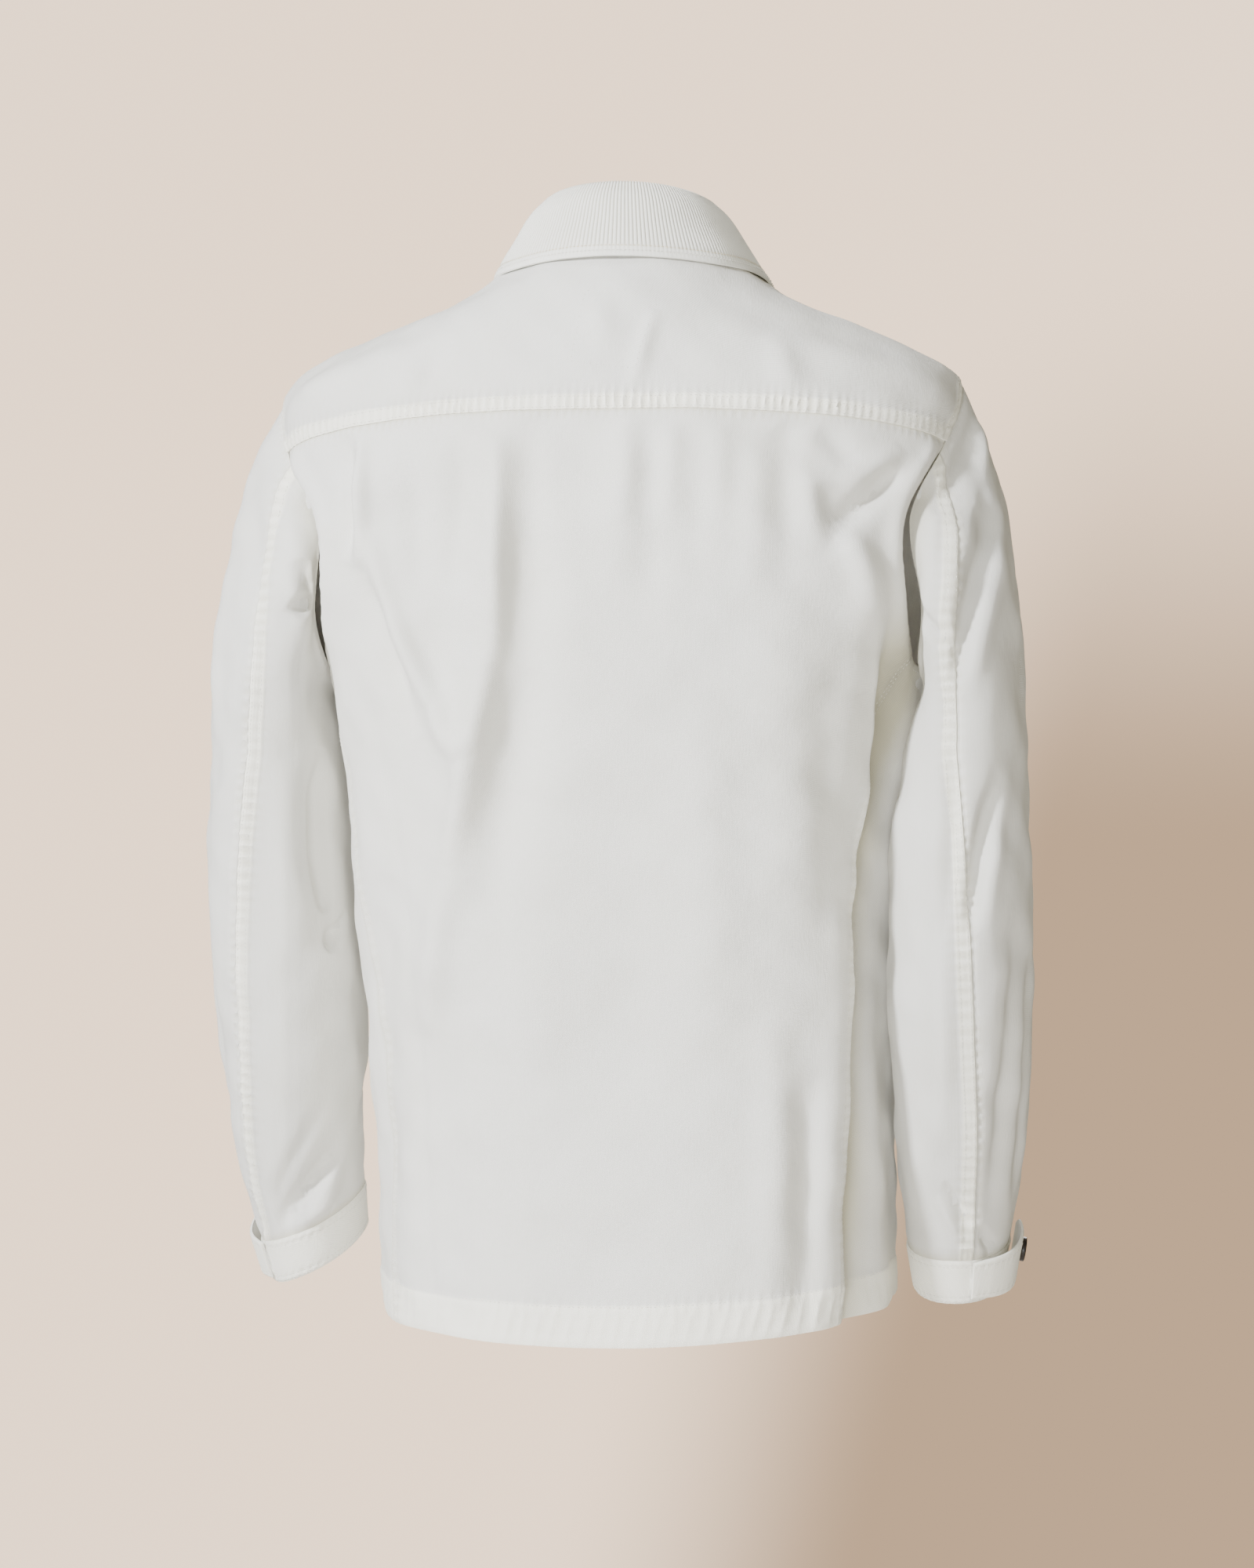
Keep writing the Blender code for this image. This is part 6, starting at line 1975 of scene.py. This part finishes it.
def on_the_back(node, x, z):
    """The place on a piece's outer face straight in front of it, seen from behind."""
    tree, sign = tree_of(node)
    spot, up, _, _ = tree.ray_cast(Vector((x, 0.4, z)), Vector((0.0, -1.0, 0.0)))
    return np.array(spot), np.array(up) * sign


line, ups = [], []
for first, second in zip(OUTLINE_CORNERS[:-1], OUTLINE_CORNERS[1:]):
    for share in np.linspace(0.0, 1.0, 12)[:-1]:
        spot, up = on_the_back("yoke", first.x + (second.x - first.x) * share,
                               first.z + (second.z - first.z) * share)
        line.append(spot)
        ups.append(up)
gathered = StitchRow("yoke_outline_stitches", cream_thread)
gathered.lay(np.array(line), np.array(ups), pitch=0.0042, length=0.0017)
gathered.finish()

# %% [markdown]
# ## Buttons
#
# Each button is turned from dark resin: a disc with a raised rim round a shallow dish, four
# holes, and a cross of dark thread through them. It is modelled once, flat at the origin,
# and each copy is set where its solid button is.

# %% One button
BUTTON_RIM = 0.26             # the rim's width, in button radii
DISH_SLOPE = 0.12             # the width of the slope down to the dish
DISH_DEPTH = 0.36             # in button thicknesses
HOLE_APART = 0.0016
HOLE_RADIUS = 0.0008
deselect_all()
bpy.ops.mesh.primitive_cylinder_add(vertices=48, radius=BUTTON_RADIUS, depth=BUTTON_THICKNESS,
                                    location=(0.0, 0.0, BUTTON_THICKNESS / 2))
button = bpy.context.object
bpy.ops.object.transform_apply(location=True, rotation=True, scale=True)
bpy.ops.object.mode_set(mode="EDIT")
bpy.ops.mesh.select_mode(type="FACE")
bpy.ops.mesh.select_all(action="DESELECT")
bpy.ops.object.mode_set(mode="OBJECT")
for face in button.data.polygons:
    face.select = face.normal.z > 0.9
bpy.ops.object.mode_set(mode="EDIT")
bpy.ops.mesh.inset(thickness=BUTTON_RADIUS * BUTTON_RIM)
bpy.ops.mesh.inset(thickness=BUTTON_RADIUS * DISH_SLOPE)
bpy.ops.transform.translate(value=(0.0, 0.0, -BUTTON_THICKNESS * DISH_DEPTH))
bpy.ops.object.mode_set(mode="OBJECT")
soften = button.modifiers.new("soften", "BEVEL")
soften.width = 0.00055
soften.segments = 3
soften.limit_method = "ANGLE"
bpy.ops.object.modifier_apply(modifier="soften")
for across, up in ((-1, -1), (1, -1), (-1, 1), (1, 1)):
    deselect_all()
    bpy.ops.mesh.primitive_cylinder_add(
        vertices=16, radius=HOLE_RADIUS, depth=0.01,
        location=(across * HOLE_APART, up * HOLE_APART, BUTTON_THICKNESS / 2))
    drill = bpy.context.object
    bore = button.modifiers.new("bore", "BOOLEAN")
    bore.operation = "DIFFERENCE"
    bore.object = drill
    deselect_all()
    bpy.context.view_layer.objects.active = button
    bpy.ops.object.modifier_apply(modifier="bore")
    bpy.data.objects.remove(drill, do_unlink=True)
button.data.materials.clear()
button.data.materials.append(resin)
button.data.shade_smooth()
button.data.set_sharp_from_angle(angle=math.radians(35.0))
BUTTON_POINTS = np.array([tuple(vertex.co) for vertex in button.data.vertices])
print("button points:", len(BUTTON_POINTS))

# %% Buttons in place
def frame_of(normal):
    """Across, up and out directions for a button with this face normal."""
    out = unit(normal)
    across = unit(np.cross(np.array([0.0, 0.0, 1.0]), out))
    return np.stack([across, np.cross(out, across), out])


def thread_cross(name, place, axes):
    """The crossed thread between a button's four holes."""
    seats, ways = [], []
    for direction in ((1.0, 1.0), (1.0, -1.0)):
        way = unit(axes[0] * direction[0] + axes[1] * direction[1])
        for nudge in (-0.0003, 0.0, 0.0003):
            side = np.cross(axes[2], way)
            seats.append(place + axes[2] * (BUTTON_THICKNESS * 0.64 + 0.0004) + side * nudge)
            ways.append(way)
    block = stitch_points(np.array(seats), np.array(ways), np.array([axes[2]] * len(seats)),
                          length=0.0052, radius=0.00030)
    gathered = StitchRow(name, dark_thread)
    gathered.blocks.append(block)
    gathered.finish()


def set_button(node, place, normal):
    """A copy of the button, its place put into its mesh."""
    axes = frame_of(normal)
    mesh = button.data.copy()
    points = place + BUTTON_POINTS @ axes
    mesh.vertices.foreach_set("co", points.ravel())
    mesh.update()
    piece = add_object(node + "_resin", mesh)
    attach(piece, "root")
    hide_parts(node)
    thread_cross(node + "_thread", place, axes)


downs = np.linspace(0.0, 1.0, 401)
centre_line = body(np.full(len(downs), 180.0), downs)
for number, height in enumerate(FRONT_BUTTON_HEIGHTS, start=1):
    down = np.array(downs[np.abs(centre_line[:, 2] - height).argmin()])
    normal = body_normal(np.array(180.0), down)
    place = body(np.array(180.0), down) + normal * (WALL + 3 * SEAM_GAP)
    set_button("front_button_%d" % number, place, normal)
for side in SLEEVES:
    low, high = (np.array(corner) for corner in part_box("cuff_button_" + side))
    grid, normals = PIECES["cuff_tab_" + side]
    middle = (low + high) / 2
    away = lengths(grid - middle)
    normal = unit(normals[np.unravel_index(away.argmin(), away.shape)])
    set_button("cuff_button_" + side, middle - normal * BUTTON_THICKNESS * 0.42, normal)
bpy.data.objects.remove(button, do_unlink=True)
print("buttons set:", len(FRONT_BUTTON_HEIGHTS) + len(SLEEVES))

# %% [markdown]
# ## Floor
#
# A plain pale floor well below the hem. From the photograph's level view it lies under the
# frame, and from above it shows as an even ground.

# %% Floor
deselect_all()
bpy.ops.mesh.primitive_circle_add(vertices=96, radius=1.6, fill_type="NGON",
                                  location=(0.0, 0.0, -1.45))
floor = bpy.context.object
floor.name = "floor"
bpy.ops.object.transform_apply(location=True, rotation=True, scale=True)
floor_material = bpy.data.materials.new("pale_floor")
floor_material.use_nodes = True
floor_shader = floor_material.node_tree.nodes["Principled BSDF"]
floor_shader.inputs["Base Color"].default_value = (0.62, 0.58, 0.53, 1.0)
floor_shader.inputs["Roughness"].default_value = 0.9
floor.data.materials.append(floor_material)
floor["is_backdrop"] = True
print("floor set")

# %% [markdown]
# ## Sizes
#
# The boxes of the solids and of the dressed jacket are printed, with the count of triangles.
# The dressed jacket must stay the size of its solids, apart from a few millimetres of cloth.

# %% Sizes and finish
shown_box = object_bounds()
for label, corners in (("solids", cad_box), ("dressed", shown_box)):
    print(label, [[round(value, 4) for value in corner] for corner in corners])
print("triangles:", sum(len(face.vertices) - 2 for item in bpy.data.objects
                        if item.type == "MESH" and not item.hide_render
                        for face in item.data.polygons))
